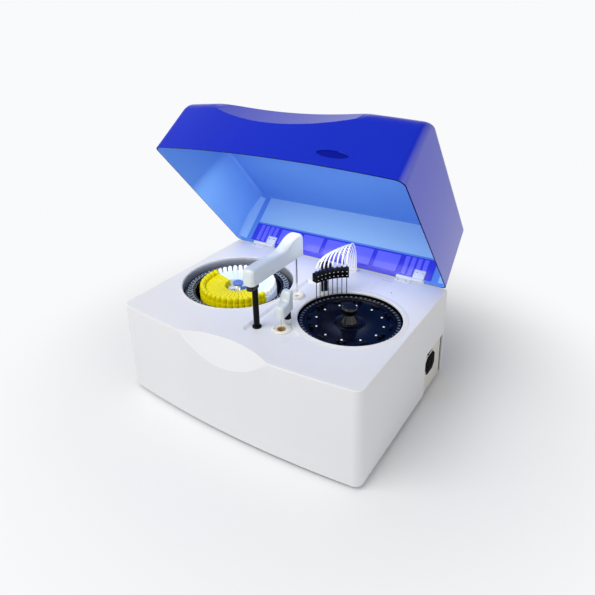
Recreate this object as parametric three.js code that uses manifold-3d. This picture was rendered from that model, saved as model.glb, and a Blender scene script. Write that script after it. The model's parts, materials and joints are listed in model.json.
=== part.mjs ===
// Benchtop chemistry analyzer: a moulded housing with a hinged clear lid over a reagent carousel, a reaction
// carousel, a sampling arm, a stirrer arm and a wash station. Millimetres, +Z up, +Y to the back.
import * as THREE from 'three';
import * as BufferGeometryUtils from 'three/addons/utils/BufferGeometryUtils.js';
import Module from 'manifold-3d';

const wasm = await Module();
wasm.setup();

// Clearances and facet counts that every piece shares
const gap = 0.3;
const overrun = 2;
const largeSides = 36;
const mediumSides = 16;
const smallSides = 12;
const boreSides = 6;
const mouthSides = 5;
const fullTurn = 2 * Math.PI;

// Housing
const bodyWidth = 700;
const bodyDepth = 512;
const bodyHeight = 251;
const frontBow = 20;
const frontCornerRadius = 22;
const rearCornerRadius = 6;
const deckEdgeRadius = 3;
const coverWall = 4;
const footHeight = 10;
const footRadius = 16;
const footTipRadius = 13;
const footInset = 60;
const basePlateThickness = 3;
const rearPanelThickness = 2;
const rearPanelInset = 2;
const ventCount = 6;
const ventLength = 60;
const ventWidth = 3.5;
const ventPitch = 14;
const ventX = 150;
const ventZ = 60;

// Scoop in the top front edge of the housing
const bodyScoopHalfWidth = 143;
const bodyScoopBack = 36;
const bodyScoopDrop = 59;

// Openings in the deck and their raised lips
const reagentSideMargin = 27.4;
const reactionSideMargin = 28.7;
const betweenOpenings = 77.3;
const reagentOpeningShare = 0.55207;
const openingRoom = (bodyWidth - reagentSideMargin - reactionSideMargin - betweenOpenings) / 2;
const reagentOpeningRadius = openingRoom * reagentOpeningShare;
const reactionOpeningRadius = openingRoom - reagentOpeningRadius;
const reagentX = reagentOpeningRadius + reagentSideMargin - bodyWidth / 2;
const reagentY = 11.5;
const reactionX = bodyWidth / 2 - reactionSideMargin - reactionOpeningRadius;
const reactionY = -4.2;
const middleX = reagentX + reagentOpeningRadius + betweenOpenings / 2;
const lipWidth = 6;
const lipHeight = 3;
const lipChamfer = 1.5;
const reagentSkirtWidth = 2.5;
const reactionSkirtWidth = 9;
const lipSkirtHeight = 1.2;

// Shallow recess between the two openings
const recessDepth = 6;
const recessLeftReach = 30.85;
const recessRightReach = 104.15;
const recessLeft = middleX - recessLeftReach;
const recessFront = -187;
const recessRight = middleX + recessRightReach;
const recessBack = 120;
const recessCornerRadius = 12;
const recessChamferX = 14;
const recessChamferY = 46;
const reagentRecessMargin = 3;
const reactionRecessMargin = 4;

// Lamp cover plate let into the deck
const lampCoverWidth = 70;
const lampCoverDepth = 66;
const lampCoverFromSide = 104;
const lampCoverFromOpening = 17.3;
const lampCoverRight = bodyWidth / 2 - lampCoverFromSide;
const lampCoverLeft = lampCoverRight - lampCoverWidth;
const lampCoverFront = reactionY + reactionOpeningRadius + lampCoverFromOpening;
const lampCoverBack = lampCoverFront + lampCoverDepth;
const lampCoverThickness = 2;

// Power panel in the cut-out low at the right rear
const cutoutWidth = 126;
const cutoutFromRear = 12;
const cutoutBack = bodyDepth / 2 - cutoutFromRear;
const cutoutFront = cutoutBack - cutoutWidth;
const cutoutHeight = 121;
const powerPanelSetback = 10;
const powerPanelThickness = 2;
const powerPanelMargin = 8;
const inletFromCutout = 40;
const inletY = cutoutFront + inletFromCutout;
const inletZ = 88;
const inletWidth = 50;
const inletHeight = 40;
const inletFlangeThickness = 3;
const inletFlangeMargin = 3;
const inletBodyDepth = 24;
const socketWidth = 26;
const socketHeight = 18;
const socketDepth = 18;
const socketPinWidth = 2;
const socketPinHeight = 5;
const socketPinLength = 12;
const socketPinSpacing = 7;
const rockerFromCutout = 36;
const rockerY = cutoutFront + rockerFromCutout;
const rockerZ = 120;
const rockerWidth = 30;
const rockerHeight = 12;
const rockerDepth = 12;
const rockerProud = 3;
const rockerTilt = THREE.MathUtils.degToRad(6);
const earthScrewFromCutout = 6;
const earthScrewY = cutoutFront + earthScrewFromCutout;
const earthScrewZ = 81;
const earthScrewHeadRadius = 4;
const earthScrewHeadHeight = 4;
const earthScrewRadius = 2;
const earthScrewLength = 10;

// Frame under the deck that carries the tubs
const framePlateTop = 165;
const framePlateThickness = 5;
const frameSideMargin = 40;
const frameFrontMargin = 41;
const frameBackMargin = 66;
const frameHalfWidth = bodyWidth / 2 - frameSideMargin;
const frameFront = frameFrontMargin - bodyDepth / 2;
const frameBack = bodyDepth / 2 - frameBackMargin;
const frameWindowFrontShare = 0.62;
const frameWindowShare = 0.5;

// Lid, drawn shut and then swung open about its hinge line
const lidSideInset = 2;
const lidOverhang = 1;
const lidHalfWidth = bodyWidth / 2 - lidSideInset;
const lidRear = bodyDepth / 2 + lidOverhang;
const lidFront = -lidRear;
const lidHeight = 182;
const lidWall = 3;
const lidHemAboveDeck = 4;
const lidLean = 16;
const lidSideDraft = 5;
const lidFrontRound = 45;
const lidSideRound = 9;
const lidOpenAngle = THREE.MathUtils.degToRad(49.5);
const lidScoopX = -14;
const lidScoopHalfWidth = 335;
const lidScoopBack = 55;
const lidScoopDrop = 72;
const gripX = 178;
const gripAboveHem = 34;
const gripHalfWidth = 38;
const gripHalfHeight = 10;
const gripDepth = 1.2;
const ribPadCount = 7;
const ribPadSideMargin = 60;
const ribPadSpan = bodyWidth - 2 * ribPadSideMargin;
const ribPadGap = 9;
const ribPadBottom = 12;
const ribPadTop = 68;
const ribPadProud = 2;
const rearSheetLeftMargin = 48;
const rearSheetRightMargin = 28;
const rearSheetBottom = 77;
const rearSheetTopMargin = 10;
const rearSheetThickness = 1.5;

// Lid hinges
const hingeFromRear = 4;
const hingeY = bodyDepth / 2 - hingeFromRear;
const hingeAboveDeck = 7;
const hingeFromSide = 105;
const hingeX = bodyWidth / 2 - hingeFromSide;
const hingeHalfLength = 38;
const hingeSplit = 6;
const hingeBarrelRadius = 5;
const hingePinRadius = 2;
const hingeLeafDepth = 18;
const hingeLeafThickness = 2.5;
const hingeLidLeafHeight = 38;
const hingeNotchMargin = 2;
const hingeNotchHeight = 9;

// Reagent tub and carousel
const tubWall = 3;
const reagentTubMargin = 3.6;
const reagentTubRadius = reagentOpeningRadius + reagentTubMargin;
const shaftRadius = 6;
const shaftHoleRadius = 10;
const hubFlangeRadius = 28;
const hubFlangeThickness = 5;
const hubClearance = 3;
const carouselPlate = 4;
const carouselClearance = 4.4;
const cupTroughWidth = 29;
const carouselRadius = reagentOpeningRadius - carouselClearance;
const cupTroughInner = carouselRadius - cupTroughWidth;
const cupTroughWall = 2.5;
const cupTroughDepth = 32;
const carouselRimTop = 240;
const cupRingTop = 244;
const cupCircleInset = 15;
const cupCircleRadius = carouselRadius - cupCircleInset;
const cupCount = 60;
const cupBoreRadius = 5.5;
const cupFloor = 2;
const bottleCount = 40;
const yellowBottleCount = 21;
const yellowStartAngle = THREE.MathUtils.degToRad(164);
const bottleInnerRadius = 36;
const bottleFromTrough = 13;
const bottleOuterRadius = cupTroughInner - bottleFromTrough;
const bottleRootWidth = 5;
const bottleSlot = 1.2;
const bottleTop = 250;
const bottleNeckTop = 262;
const bottleNeckRadius = 6.4;
const bottleMouthRadius = 4.6;
const bottleMouthDepth = 60;
const bottleNeckInset = 9;
const hubWaistRadius = 6.5;
const hubWaistTop = 230;
const hubHeadRadius = 13;
const hubHeadTop = 250;
const hubFootRadius = 14;
const hubFootTop = 205;
const liftKnobRadius = 15;
const liftKnobHeight = 7.5;
const liftKnobChamfer = 1.5;

// Reaction bath and carousel
const bathMargin = 4.1;
const bathRadius = reactionOpeningRadius + bathMargin;
const discTop = 247;
const discThickness = 4;
const discRimTop = 250;
const ringClearance = 1.4;
const ringWidth = 12.5;
const ringOuterRadius = reactionOpeningRadius - ringClearance;
const ringInnerRadius = ringOuterRadius - ringWidth;
const discRimWidth = 7;
const discRimRadius = ringInnerRadius - discRimWidth;
const ringTop = 252;
const ringHeight = 40;
const ringCircleInset = 6;
const ringCircleRadius = ringOuterRadius - ringCircleInset;
const ringSeatThickness = 3.5;
const ringSeatWidth = 10;
const ringSeatInner = ringInnerRadius - ringSeatWidth;
const cuvetteCount = 60;
const cuvettePhase = THREE.MathUtils.degToRad(1);
const cuvetteRadialSize = 6.4;
const cuvetteWidth = 5.4;
const cuvetteDepth = 36;
const postCount = 10;
const postCircleInset = 3.7;
const postCircleRadius = ringInnerRadius - postCircleInset;
const postRadius = 2.8;
const postHeight = 6;
const spindleFlangeRadius = 25;
const spindleStub = 14;
const knobBaseRadius = 27;
const knobBaseHeight = 3;
const knobWaistRadius = 12.5;
const knobWaistHeight = 23;
const knobHeadRadius = 19.5;
const knobHeadHeight = 36;
const knobHeight = 43.5;
const knobCrownRadius = 17;

// Carousel motors
const motorSize = 56;
const motorHeight = 62;
const motorBossRadius = 18;
const motorBossHeight = 4;
const shaftDepthInMotor = 45;
const shaftWall = 1;

// Sampling arm
const sampleFromMiddle = 9.25;
const sampleX = middleX - sampleFromMiddle;
const sampleY = -152.5;
const sampleCuvetteAngle = THREE.MathUtils.degToRad(169);
const sampleRestAngle = THREE.MathUtils.degToRad(89.2);
const sampleColumnRadius = 7.5;
const sampleColumnBottom = 80;
const armUnderside = 378;
const armHalfWidth = 16.5;
const armNearOverhang = 28;
const armFarOverhang = 15;
const armBeamHeight = 42;
const armHeadHeight = 63;
const armHeadLength = 62;
const armHeadRise = 40;
const armEndRound = 12;
const armTopRound = 12;
const armShellWall = 3;
const armSocketDepth = 20;
const armCavityMargin = 12;
const clampHalfWidth = 9.5;
const clampHeight = 14;
const clampNear = 27;
const clampFar = 1;
const probeRadius = 2.3;
const probeTipRadius = 1;
const probeTipLength = 26;
const probeTipZ = 268;
const sampleFlangeRadius = 11.5;
const sampleFlangeHeight = 4;

// Stirrer arm
const stirrerFromOpening = 25.6;
const stirrerPostAngle = THREE.MathUtils.degToRad(217.25);
const stirrerPostDistance = reactionOpeningRadius + stirrerFromOpening;
const stirrerX = reactionX + stirrerPostDistance * Math.cos(stirrerPostAngle);
const stirrerY = reactionY + stirrerPostDistance * Math.sin(stirrerPostAngle);
const stirrerCuvetteAngle = THREE.MathUtils.degToRad(223);
const stirrerRestAngle = THREE.MathUtils.degToRad(-82.5);
const stirrerColumnRadius = 8.5;
const stirrerColumnBottom = 120;
const stirrerUnderside = 291;
const stirrerHalfWidth = 12.5;
const stirrerOverhang = 13;
const stirrerBeamHeight = 31;
const stirrerHeadHeight = 54;
const stirrerHeadLength = 24;
const stirrerSocketDepth = 14;
const bossOuterRadius = 11.5;
const bossHeight = 13;
const paddleShaftRadius = 1.3;
const paddleChuckRadius = 2.6;
const paddleChuckLength = 14;
const paddleBladeWidth = 3.6;
const paddleBladeThickness = 1;
const paddleBladeHeight = 11;
const paddleTipZ = 265.5;

// Wash wells
const sampleWellFlangeRadius = 20;
const sampleWellHeight = 9;
const sampleWellRimWidth = 4;
const sampleWellBore = 6;
const sampleWellDepth = 66;
const stirrerWellFlangeRadius = 23.8;
const stirrerWellHeight = 5;
const stirrerWellRimWidth = 7;
const stirrerWellBore = 10;
const stirrerWellDepth = 52;
const wellWall = 3;
const wellBowlDepthShare = 0.8;

// Wash station
const needleCount = 8;
const needleStartAngle = THREE.MathUtils.degToRad(121);
const washColumnRadius = 6.5;
const washColumnFromOpening = 34.1;
const washColumnDistance = reactionOpeningRadius + washColumnFromOpening;
const washColumnBottom = 100;
const washFlangeRadius = 9.5;
const washFlangeHeight = 4;
const washHeadBottom = 313;
const washHeadHeight = 24;
const washHeadHalfWidth = 8.5;
const washHeadInner = ringCircleRadius - washHeadHalfWidth;
const washHeadOuter = ringCircleRadius + washHeadHalfWidth;
const washHeadEndMargin = THREE.MathUtils.degToRad(2.8);
const washCollarRadius = 10;
const washCollarHeight = 25;
const washBridgeWidth = 14;
const needleRadius = 1.3;
const needleTipZ = 257;
const needleStub = 12;
const needleRailHeight = 4;
const needleRailHalfWidth = 1.4;
const needleRailDepth = 12;
const tubeRadius = 1.9;
const tubeSides = 6;
const tubeSteps = 10;
const manifoldFromMiddle = 47.15;
const manifoldFromRear = 24;
const manifoldX = middleX + manifoldFromMiddle;
const manifoldY = bodyDepth / 2 - manifoldFromRear;
const manifoldWidth = 44;
const manifoldDepth = 9;
const manifoldHeight = 9;
const manifoldPitch = 5;
const tubeRiseLow = 18;
const tubeRiseHigh = 40;
const tubeFallLow = 95;
const tubeFallHigh = 130;

// Lift units, pulleys and the rest of the inside
const liftUnitWidth = 46;
const liftUnitDepth = 50;
const liftUnitPlate = 6;
const pulleyRadius = 18;
const pulleyHeight = 12;
const sampleUnitTop = 150;
const stirrerUnitTop = 156;
const washUnitTop = 145;
const photometerFromSide = 70;
const photometerFromRear = 108;
const photometerX = bodyWidth / 2 - photometerFromSide;
const photometerY = bodyDepth / 2 - photometerFromRear;
const photometerWidth = 50;
const photometerDepth = 36;
const photometerHeight = 60;
const supplyFromSide = 140;
const supplyFromRear = 106;
const supplyX = supplyFromSide - bodyWidth / 2;
const supplyY = bodyDepth / 2 - supplyFromRear;
const supplyWidth = 180;
const supplyDepth = 100;
const supplyHeight = 50;
const boardFromMiddle = 148.85;
const boardX = middleX - boardFromMiddle;
const boardY = -110;
const boardWidth = 180;
const boardDepth = 130;
const boardThickness = 2;
const boardStandoff = 12;
const boardStandoffRadius = 4;
const boardInset = 10;
const chipWidth = 34;
const chipHeight = 4;
const pumpFromSide = 80;
const pumpFromFront = 66;
const pumpX = bodyWidth / 2 - pumpFromSide;
const pumpY = pumpFromFront - bodyDepth / 2;
const pumpWidth = 44;
const pumpHeight = 100;
const plungerRadius = 8;
const plungerHeadRadius = 12;
const plungerHeadHeight = 5;
const plungerDepth = 60;
const plungerProud = 12;

// Heights that follow from the sizes above
const deckTop = footHeight + bodyHeight;
const deckUnderside = deckTop - coverWall;
const recessFloor = deckTop - recessDepth;
const basePlateTop = footHeight + basePlateThickness;
const framePlateBottom = framePlateTop - framePlateThickness;
const tubBottom = framePlateTop + gap;
const tubFloor = tubBottom + tubWall;
const tubTop = deckUnderside - gap;
const hingeZ = deckTop + hingeAboveDeck;
const motorTop = framePlateBottom - gap;

const unit = (angle) => new THREE.Vector2(Math.cos(angle), Math.sin(angle));
const polar = (x, y, radius, angle) => new THREE.Vector2(x, y).addScaledVector(unit(angle), radius);
const sampleCuvette = polar(reactionX, reactionY, ringCircleRadius, sampleCuvetteAngle);
const samplePost = new THREE.Vector2(sampleX, sampleY);
const armReach = samplePost.distanceTo(sampleCuvette);
const sampleWell = polar(sampleX, sampleY, armReach, sampleRestAngle);
const stirrerCuvette = polar(reactionX, reactionY, ringCircleRadius, stirrerCuvetteAngle);
const stirrerPost = new THREE.Vector2(stirrerX, stirrerY);
const stirrerReach = stirrerPost.distanceTo(stirrerCuvette);
const stirrerWell = polar(stirrerX, stirrerY, stirrerReach, stirrerRestAngle);
const cuvettePitch = fullTurn / cuvetteCount;
const needleSpan = (needleCount - 1) * cuvettePitch;
const washColumn = polar(reactionX, reactionY, washColumnDistance, needleStartAngle + needleSpan / 2);

// Where the probe's circle crosses the ring of cups, on the side away from the housing's middle
const reagentCentre = new THREE.Vector2(reagentX, reagentY);
const toReagent = reagentCentre.clone().sub(samplePost);
const cupCrossing = Math.acos(
  (toReagent.lengthSq() + armReach ** 2 - cupCircleRadius ** 2) / (2 * toReagent.length() * armReach)
);
const probeOverCup = polar(sampleX, sampleY, armReach, toReagent.angle() + cupCrossing);
const cupPhase = probeOverCup.clone().sub(reagentCentre).angle();

// Materials
const paint = (color, roughness, metalness = 0) =>
  new THREE.MeshStandardMaterial({ color, roughness, metalness, flatShading: true });
const seeThrough = (color, roughness, opacity) =>
  new THREE.MeshStandardMaterial({ color, roughness, opacity, transparent: true, flatShading: true });
const housingPaint = paint(0xe2e4e8, 0.4);
const steelPaint = paint(0xc4c6ca, 0.45, 0.3);
const zincSteel = paint(0xa9adb2, 0.4, 0.9);
const brushedSteel = paint(0x9aa0a8, 0.3, 1);
const brightSteel = paint(0xd2d5da, 0.18, 1);
const aluminium = paint(0xb4b7bb, 0.4, 0.9);
const brass = paint(0xc9a24a, 0.3, 1);
const rubber = paint(0x1b1b1c, 0.85);
const blackPlastic = paint(0x121216, 0.35);
const navyPlastic = paint(0x0a0d22, 0.3);
const whitePlastic = paint(0xeceef0, 0.35);
const creamPlastic = paint(0xe6e2d6, 0.45);
const yellowPlastic = paint(0xddd716, 0.4);
const bluePlastic = paint(0x3f62b0, 0.35);
const boardGreen = paint(0x1c5a34, 0.5);
const lidBlue = seeThrough(0x2b4fe0, 0.12, 0.6);
const paleBlue = seeThrough(0x80aae8, 0.4, 0.9);
const clearPlastic = seeThrough(0xdde6f2, 0.15, 0.6);

// A closed three.js geometry as a solid that can be joined and cut
function solid(geometry) {
  const bare = new THREE.BufferGeometry();
  bare.setAttribute('position', geometry.getAttribute('position').clone());
  if (geometry.index) bare.setIndex(geometry.index.clone());
  const merged = BufferGeometryUtils.mergeVertices(bare, 1e-4);
  return new wasm.Manifold(new wasm.Mesh({
    numProp: 3,
    vertProperties: new Float32Array(merged.getAttribute('position').array),
    triVerts: new Uint32Array(merged.index.array),
  }));
}

function addPiece(parent, name, shape, material) {
  const data = shape.getMesh();
  const geometry = new THREE.BufferGeometry();
  geometry.setAttribute('position', new THREE.BufferAttribute(new Float32Array(data.vertProperties), 3));
  geometry.setIndex(new THREE.BufferAttribute(new Uint32Array(data.triVerts), 1));
  geometry.computeVertexNormals();
  const mesh = new THREE.Mesh(geometry, material);
  mesh.name = name;
  parent.add(mesh);
  return mesh;
}

const joined = (solids) => solids.reduce((sum, next) => sum.add(next));
const cut = (body, cutters) => cutters.reduce((rest, next) => rest.subtract(next), body);

// Upright cylinder or cone from height low to height high
function rod(radius, low, high, { x = 0, y = 0, sides = smallSides, top = radius } = {}) {
  const geometry = new THREE.CylinderGeometry(top, radius, high - low, sides);
  geometry.rotateX(Math.PI / 2);
  geometry.translate(x, y, (low + high) / 2);
  return solid(geometry);
}

// Box between two corners
function block(x0, x1, y0, y1, z0, z1) {
  const geometry = new THREE.BoxGeometry(x1 - x0, y1 - y0, z1 - z0);
  geometry.translate((x0 + x1) / 2, (y0 + y1) / 2, (z0 + z1) / 2);
  return solid(geometry);
}

// Outline in plan raised from height low to height high
function prism(shape, low, high, curveSegments = 5) {
  const options = { depth: high - low, bevelEnabled: false, curveSegments };
  const geometry = new THREE.ExtrudeGeometry(shape, options);
  geometry.translate(0, 0, low);
  return solid(geometry);
}

// Round piece from a closed profile of radius and height pairs
function turned(profile, sides, x = 0, y = 0) {
  const points = profile.map(([radius, height]) => new THREE.Vector2(radius, height));
  const onAxis = profile[0][0] === 0;
  const geometry = new THREE.LatheGeometry(onAxis ? points : [...points, points[0].clone()], sides);
  geometry.rotateX(Math.PI / 2);
  geometry.translate(x, y, 0);
  return solid(geometry);
}

function ring(inner, outer, low, high, sides, x = 0, y = 0) {
  return turned([[inner, low], [outer, low], [outer, high], [inner, high]], sides, x, y);
}

// Plan outline with rounded corners and a front edge that bows outwards
function bowedOutline(halfWidth, front, rear, bow, frontRadius, rearRadius) {
  const cornerSteps = 3;
  const bowSteps = 10;
  const points = [];
  const corner = (x, y, radius, from) => {
    for (let step = 0; step <= cornerSteps; step += 1) {
      points.push(polar(x, y, radius, from + (step / cornerSteps) * Math.PI / 2));
    }
  };
  corner(halfWidth - rearRadius, rear - rearRadius, rearRadius, 0);
  corner(-halfWidth + rearRadius, rear - rearRadius, rearRadius, Math.PI / 2);
  corner(-halfWidth + frontRadius, front + frontRadius, frontRadius, Math.PI);
  const bowHalf = halfWidth - frontRadius;
  for (let step = 1; step < bowSteps; step += 1) {
    const share = (2 * step) / bowSteps - 1;
    points.push(new THREE.Vector2(share * bowHalf, front - bow * (1 - share ** 2)));
  }
  corner(halfWidth - frontRadius, front + frontRadius, frontRadius, 1.5 * Math.PI);
  return points;
}

// Closed skin over a stack of outlines with equal point counts, each with a height for every point
function loft(levels) {
  const count = levels[0].outline.length;
  const positions = levels.flatMap(({ outline, height }) => outline.flatMap((p) => [p.x, p.y, height(p)]));
  const indices = [];
  for (let level = 0; level + 1 < levels.length; level += 1) {
    for (let i = 0; i < count; i += 1) {
      const next = (i + 1) % count;
      const [a, b] = [level * count + i, level * count + next];
      indices.push(a, b, b + count, a, b + count, a + count);
    }
  }
  const top = (levels.length - 1) * count;
  for (const [a, b, c] of THREE.ShapeUtils.triangulateShape(levels[0].outline, [])) indices.push(c, b, a);
  for (const [a, b, c] of THREE.ShapeUtils.triangulateShape(levels.at(-1).outline, [])) {
    indices.push(top + a, top + b, top + c);
  }
  const geometry = new THREE.BufferGeometry();
  geometry.setAttribute('position', new THREE.Float32BufferAttribute(positions, 3));
  geometry.setIndex(indices);
  return solid(geometry);
}

const flat = (value) => () => value;

// Cutter for a scooped facet across a top front edge. Sunk moves the facet into the body by that much.
function scoop(x, edgeY, edgeZ, halfWidth, back, drop, sunk) {
  const slope = Math.hypot(back, drop);
  const sagitta = (back * drop) / slope;
  const radius = (halfWidth ** 2 + sagitta ** 2) / (2 * sagitta) + sunk;
  const half = Math.asin(Math.min(1, (halfWidth + sunk) / radius));
  const shape = new THREE.Shape();
  shape.absarc(0, radius - sunk, radius, -Math.PI / 2 - half, -Math.PI / 2 + half);
  shape.lineTo(halfWidth + sunk, slope);
  shape.lineTo(-halfWidth - sunk, slope);
  const options = { depth: 2 * slope, bevelEnabled: false, curveSegments: 14 };
  const geometry = new THREE.ExtrudeGeometry(shape, options);
  const across = new THREE.Vector3(1, 0, 0);
  const outward = new THREE.Vector3(0, -drop / slope, back / slope);
  const along = new THREE.Vector3().crossVectors(across, outward);
  const start = new THREE.Vector3(x, edgeY + back, edgeZ).addScaledVector(along, -slope / 2);
  geometry.applyMatrix4(new THREE.Matrix4().makeBasis(across, outward, along).setPosition(start));
  return solid(geometry);
}

// Outline of a slot with round ends between two places along X
function stadium(from, to, halfWidth) {
  const shape = new THREE.Shape();
  shape.absarc(from, 0, halfWidth, Math.PI / 2, 1.5 * Math.PI);
  shape.absarc(to, 0, halfWidth, -Math.PI / 2, Math.PI / 2);
  return shape;
}

function roundedRectangle(x0, x1, y0, y1, radius) {
  const shape = new THREE.Shape();
  shape.absarc(x1 - radius, y1 - radius, radius, 0, Math.PI / 2);
  shape.absarc(x0 + radius, y1 - radius, radius, Math.PI / 2, Math.PI);
  shape.absarc(x0 + radius, y0 + radius, radius, Math.PI, 1.5 * Math.PI);
  shape.absarc(x1 - radius, y0 + radius, radius, 1.5 * Math.PI, fullTurn);
  return shape;
}

// Side outline along X and Z carried through the width of the piece
function sideProfile(shape, halfWidth) {
  const options = { depth: 2 * halfWidth, bevelEnabled: false, curveSegments: 6 };
  const geometry = new THREE.ExtrudeGeometry(shape, options);
  geometry.rotateX(Math.PI / 2);
  geometry.translate(0, halfWidth, 0);
  return solid(geometry);
}

const machine = new THREE.Group();

function coverHole(x, y, radius) {
  return rod(radius + gap, recessFloor - 2 * coverWall, deckTop + overrun, { x, y, sides: mediumSides });
}

function recessOutline(margin) {
  const shape = new THREE.Shape();
  const left = recessLeft - margin;
  const front = recessFront - margin;
  const right = recessRight + margin;
  const radius = recessCornerRadius + margin;
  shape.moveTo(left, recessBack + margin);
  shape.lineTo(left, front + radius);
  shape.absarc(left + radius, front + radius, radius, Math.PI, 1.5 * Math.PI);
  shape.lineTo(right - recessChamferX, front);
  shape.lineTo(right, front + recessChamferY);
  shape.lineTo(right, recessBack + margin);
  return shape;
}

// The recess stops at the lips of both openings and takes in the stirrer's boss
function recessSolid(margin, low, high) {
  const reagentEdge = reagentOpeningRadius + lipWidth + reagentSkirtWidth + reagentRecessMargin;
  const reactionEdge = reactionOpeningRadius + lipWidth + reactionSkirtWidth + reactionRecessMargin;
  return cut(prism(recessOutline(margin), low, high), [
    rod(reagentEdge - margin, low - overrun, high + overrun,
      { x: reagentX, y: reagentY, sides: largeSides }),
    rod(reactionEdge - margin, low - overrun, high + overrun,
      { x: reactionX, y: reactionY, sides: largeSides }),
  ]).add(rod(bossOuterRadius + gap + margin, low, high, { x: stirrerX, y: stirrerY, sides: mediumSides }));
}

function lip(x, y, radius, skirtWidth) {
  const inner = radius + lipWidth;
  return turned([
    [radius, deckUnderside],
    [inner + skirtWidth, deckUnderside],
    [inner + skirtWidth, deckTop + lipSkirtHeight],
    [inner, deckTop + lipSkirtHeight],
    [inner - lipChamfer, deckTop + lipHeight],
    [radius, deckTop + lipHeight],
  ], largeSides, x, y);
}

function buildTopCover() {
  const front = -bodyDepth / 2;
  const rear = bodyDepth / 2;
  const outline = (inset) => bowedOutline(
    bodyWidth / 2 - inset, front + inset, rear - inset, frontBow, frontCornerRadius - inset, rearCornerRadius
  );
  const outer = loft([
    { outline: outline(0), height: flat(footHeight) },
    { outline: outline(0), height: flat(deckTop - deckEdgeRadius) },
    { outline: outline(deckEdgeRadius * 0.3), height: flat(deckTop - deckEdgeRadius * 0.3) },
    { outline: outline(deckEdgeRadius), height: flat(deckTop) },
  ]);
  const cavityOutline = bowedOutline(
    bodyWidth / 2 - coverWall, front + coverWall, rear + rearCornerRadius + overrun,
    frontBow, frontCornerRadius - coverWall, rearCornerRadius
  );
  const edgeY = front - frontBow;
  const bodyScoop = (sunk) => scoop(
    0, edgeY, deckTop, bodyScoopHalfWidth, bodyScoopBack, bodyScoopDrop, sunk
  );
  const cavity = loft([
    { outline: cavityOutline, height: flat(footHeight - overrun) },
    { outline: cavityOutline, height: flat(deckUnderside) },
  ]).subtract(bodyScoop(coverWall));
  const pan = recessSolid(coverWall, recessFloor - coverWall, deckTop - gap);
  const sideCut = block(
    bodyWidth / 2 - 2 * coverWall, bodyWidth / 2 + overrun,
    cutoutFront, cutoutBack, footHeight - overrun, footHeight + cutoutHeight
  );
  const shell = joined([
    outer.subtract(cavity),
    pan,
    lip(reagentX, reagentY, reagentOpeningRadius, reagentSkirtWidth),
    lip(reactionX, reactionY, reactionOpeningRadius, reactionSkirtWidth),
  ]);
  const opening = (x, y, radius) => rod(
    radius, recessFloor - 2 * coverWall, deckTop + lipHeight + overrun, { x, y, sides: largeSides }
  );
  return cut(shell, [
    bodyScoop(0),
    sideCut,
    recessSolid(0, recessFloor, deckTop + overrun),
    opening(reagentX, reagentY, reagentOpeningRadius),
    opening(reactionX, reactionY, reactionOpeningRadius),
    coverHole(sampleX, sampleY, sampleColumnRadius),
    coverHole(stirrerX, stirrerY, stirrerColumnRadius),
    coverHole(washColumn.x, washColumn.y, washColumnRadius),
    coverHole(sampleWell.x, sampleWell.y, sampleWellBore + wellWall),
    coverHole(stirrerWell.x, stirrerWell.y, stirrerWellBore + wellWall),
    block(lampCoverLeft, lampCoverRight, lampCoverFront, lampCoverBack,
      deckTop - lampCoverThickness - gap, deckTop + overrun),
  ]);
}

function buildHousing() {
  addPiece(machine, 'top_cover', buildTopCover(), housingPaint);
  const inset = coverWall + gap;
  const plateOutline = bowedOutline(
    bodyWidth / 2 - inset, -bodyDepth / 2 + inset, bodyDepth / 2 - rearPanelInset,
    frontBow, frontCornerRadius - inset, rearCornerRadius
  );
  addPiece(machine, 'base_plate', loft([
    { outline: plateOutline, height: flat(footHeight) },
    { outline: plateOutline, height: flat(basePlateTop) },
  ]), zincSteel);

  const panelBack = bodyDepth / 2 - rearPanelInset;
  const panelFront = panelBack - rearPanelThickness;
  const vents = [];
  for (const side of [-1, 1]) {
    for (let i = 0; i < ventCount; i += 1) {
      const x = side * ventX + (i - (ventCount - 1) / 2) * ventPitch;
      vents.push(block(
        x - ventWidth / 2, x + ventWidth / 2, panelFront - overrun, panelBack + overrun,
        basePlateTop + ventZ, basePlateTop + ventZ + ventLength
      ));
    }
  }
  addPiece(machine, 'rear_panel', cut(block(
    -bodyWidth / 2 + inset, bodyWidth / 2 - inset, panelFront, panelBack,
    basePlateTop + gap, deckUnderside - gap
  ), vents), steelPaint);

  addPiece(machine, 'lamp_cover', block(
    lampCoverLeft + gap, lampCoverRight - gap, lampCoverFront + gap, lampCoverBack - gap,
    deckTop - lampCoverThickness, deckTop
  ), housingPaint);

  const feet = { front_left: [-1, -1], front_right: [1, -1], rear_left: [-1, 1], rear_right: [1, 1] };
  for (const [place, [sideX, sideY]] of Object.entries(feet)) {
    const x = sideX * (bodyWidth / 2 - footInset);
    const y = sideY * (bodyDepth / 2 - footInset);
    const foot = rod(footTipRadius, 0, footHeight - gap, { x, y, top: footRadius });
    addPiece(machine, `foot_${place}`, foot, rubber);
  }
}

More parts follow.
